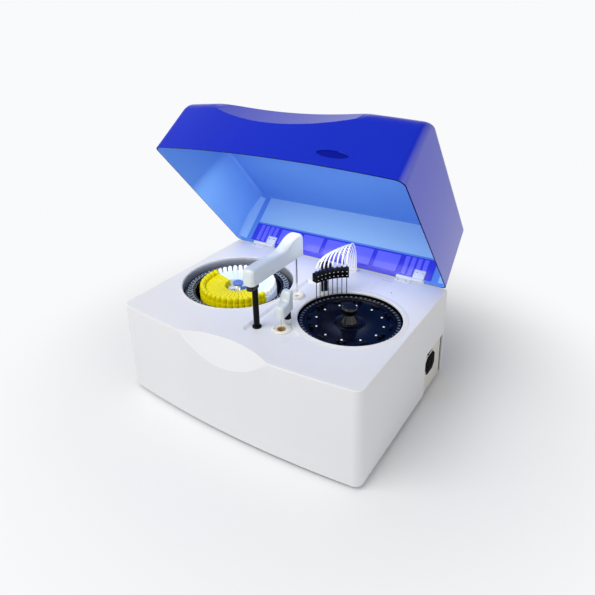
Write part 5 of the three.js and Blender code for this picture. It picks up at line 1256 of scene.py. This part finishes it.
# %% Tubes and port block
def new_tube(points, radius, sides=12):
    """A round section carried along a line of points without twisting."""
    rings = []
    normal = Vector((1, 0, 0))
    for index, point in enumerate(points):
        before, after = points[max(0, index - 1)], points[min(len(points) - 1, index + 1)]
        tangent = (after - before).normalized()
        normal = (normal - tangent * normal.dot(tangent)).normalized()
        across = tangent.cross(normal)
        turns = [step / sides * FULL_TURN for step in range(sides)]
        rings.append([point + (normal * math.cos(turn) + across * math.sin(turn)) * radius for turn in turns])
    return new_loft(rings)


TUBE_RADIUS = 1.9
PORT = Vector((76, BODY_MIDDLE + 232))
PORT_PITCH = 5
tubes = []
for index, place in enumerate(needle_places):
    share = 1 - index / 7
    start = Vector((place.x, place.y, 344))
    end = Vector((PORT.x + (3.5 - index) * PORT_PITCH, PORT.y, 268.4))
    controls = [start + Vector((0, 0, 45 + 22 * share)), end + Vector((0, 0, 84 + 38 * share))]
    line = [start] + [Vector(point) for point in curve(start, controls, end, 36)]
    tubes.append(new_tube(line, TUBE_RADIUS))
piece = shell_object("white_tubes", together(*tubes))
piece.data.materials.append(TUBE_WHITE)
piece.data.shade_smooth()
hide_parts("wash_tubes")
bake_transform(piece)
port = soften(new_box(PORT.x - 22, PORT.x + 22, PORT.y - 4.5, PORT.y + 4.5, 261.3, 269.6), 1)
put("port_block", port, "housing", HINGE_WHITE, ["wash_tubes"])

# %% [markdown]
# ## Pieces kept from the model
# The pieces inside the machine already have the right form: plates, motors, lift units and boards are plain
# shapes in life too. They keep the model's mesh and get a finish and a fine bevel, which catches the light
# as a folded or machined edge does.

# %% Finishes for the kept pieces
kept = {
    ZINC: ("base_plate", "mounting_frame", "reaction_spindle"),
    PANEL_GREY: ("rear_panel",),
    HOUSING_WHITE: ("lamp_cover",),
    HUB_STEEL: ("reagent_hub",),
    BOARD_GREEN: ("control_board",),
    BRIGHT: ("hinge_pin_left", "hinge_pin_right", "syringe_plunger"),
    BLACK_SATIN: ("reagent_motor", "reaction_motor", "photometer"),
    ALUMINIUM: ("sample_lift_unit", "sample_turn_pulley", "stirrer_lift_unit", "stirrer_turn_pulley",
                "wash_lift_unit", "power_supply", "syringe_pump"),
}
for finish, nodes in kept.items():
    for node in nodes:
        piece = frame["nodes"][node]
        piece.data.materials.clear()
        piece.data.materials.append(finish)
        edge = piece.modifiers.new("edge", "BEVEL")
        edge.width = 0.4 * MM
        edge.segments = 2
        edge.limit_method = "ANGLE"
        edge.angle_limit = math.radians(40)
print("pieces kept:", sum(len(nodes) for nodes in kept.values()))

# %% [markdown]
# The power panel is folded, so its face stands a little behind the side wall, and a dark gap shows at its
# rear. The inlet's flange is a plate with cut corners. The rocker tilts in a slot above it, and the earth
# screw sits beside it.

# %% Power panel, inlet, rocker and earth screw
FACE = BODY_HALF - 2.6
rocker_at, inlet, earth = middle("power_rocker"), middle("power_inlet"), middle("earth_screw")


def along_side(bm, place):
    """Turns a bmesh that was drawn in plan so that its height points out of the right side."""
    return moved(bm, shift(*place) @ Matrix(((0, 0, 1), (1, 0, 0), (0, 1, 0))).to_4x4())


face = new_box(BODY_HALF - 12, FACE, cut_low.y + 8.4, cut_high.y - 18, 10.5, 130.6)
slot_form = new_box(BODY_HALF - 20, BODY_HALF, rocker_at.y - 18.5, rocker_at.y + 18.5, 120.2, 127.8)
face = carve(shell_object("panel_face", soften(face, 0.8)), [slot_form])
settle(face, "housing", PANEL_WARM, ["power_panel"])
cut_corners = [(32, 14), (19, 27), (-19, 27), (-32, 14), (-32, -14), (-19, -27), (19, -27), (32, -14)]
flange = along_side(new_plate(cut_corners, 0, 2), (FACE - 0.2, inlet.y, inlet.z))
socket_form = along_side(new_box(-14, 14, -9, 9, 0.6, 4), (FACE, inlet.y, inlet.z))
flange = carve(shell_object("inlet_flange", soften(flange, 0.5)), [socket_form])
settle(flange, "housing", BLACK_MATT, ["power_inlet"])
tilt = shift(BODY_HALF - 10, rocker_at.y) @ Matrix.Rotation(math.radians(6), 4, "Z")
rocker = moved(soften(new_box(1, 8, -15.5, 15.5, 120.8, 127.2), 0.6), tilt)
put("rocker_face", rocker, "rocker", BLACK_MATT, ["power_rocker"])
earth_head = screws([(FACE, earth.y + 3, earth.z - 6)], 4, 2.2, (1, 0, 0))
put("earth_head", earth_head, "housing", BRASS, ["earth_screw"])
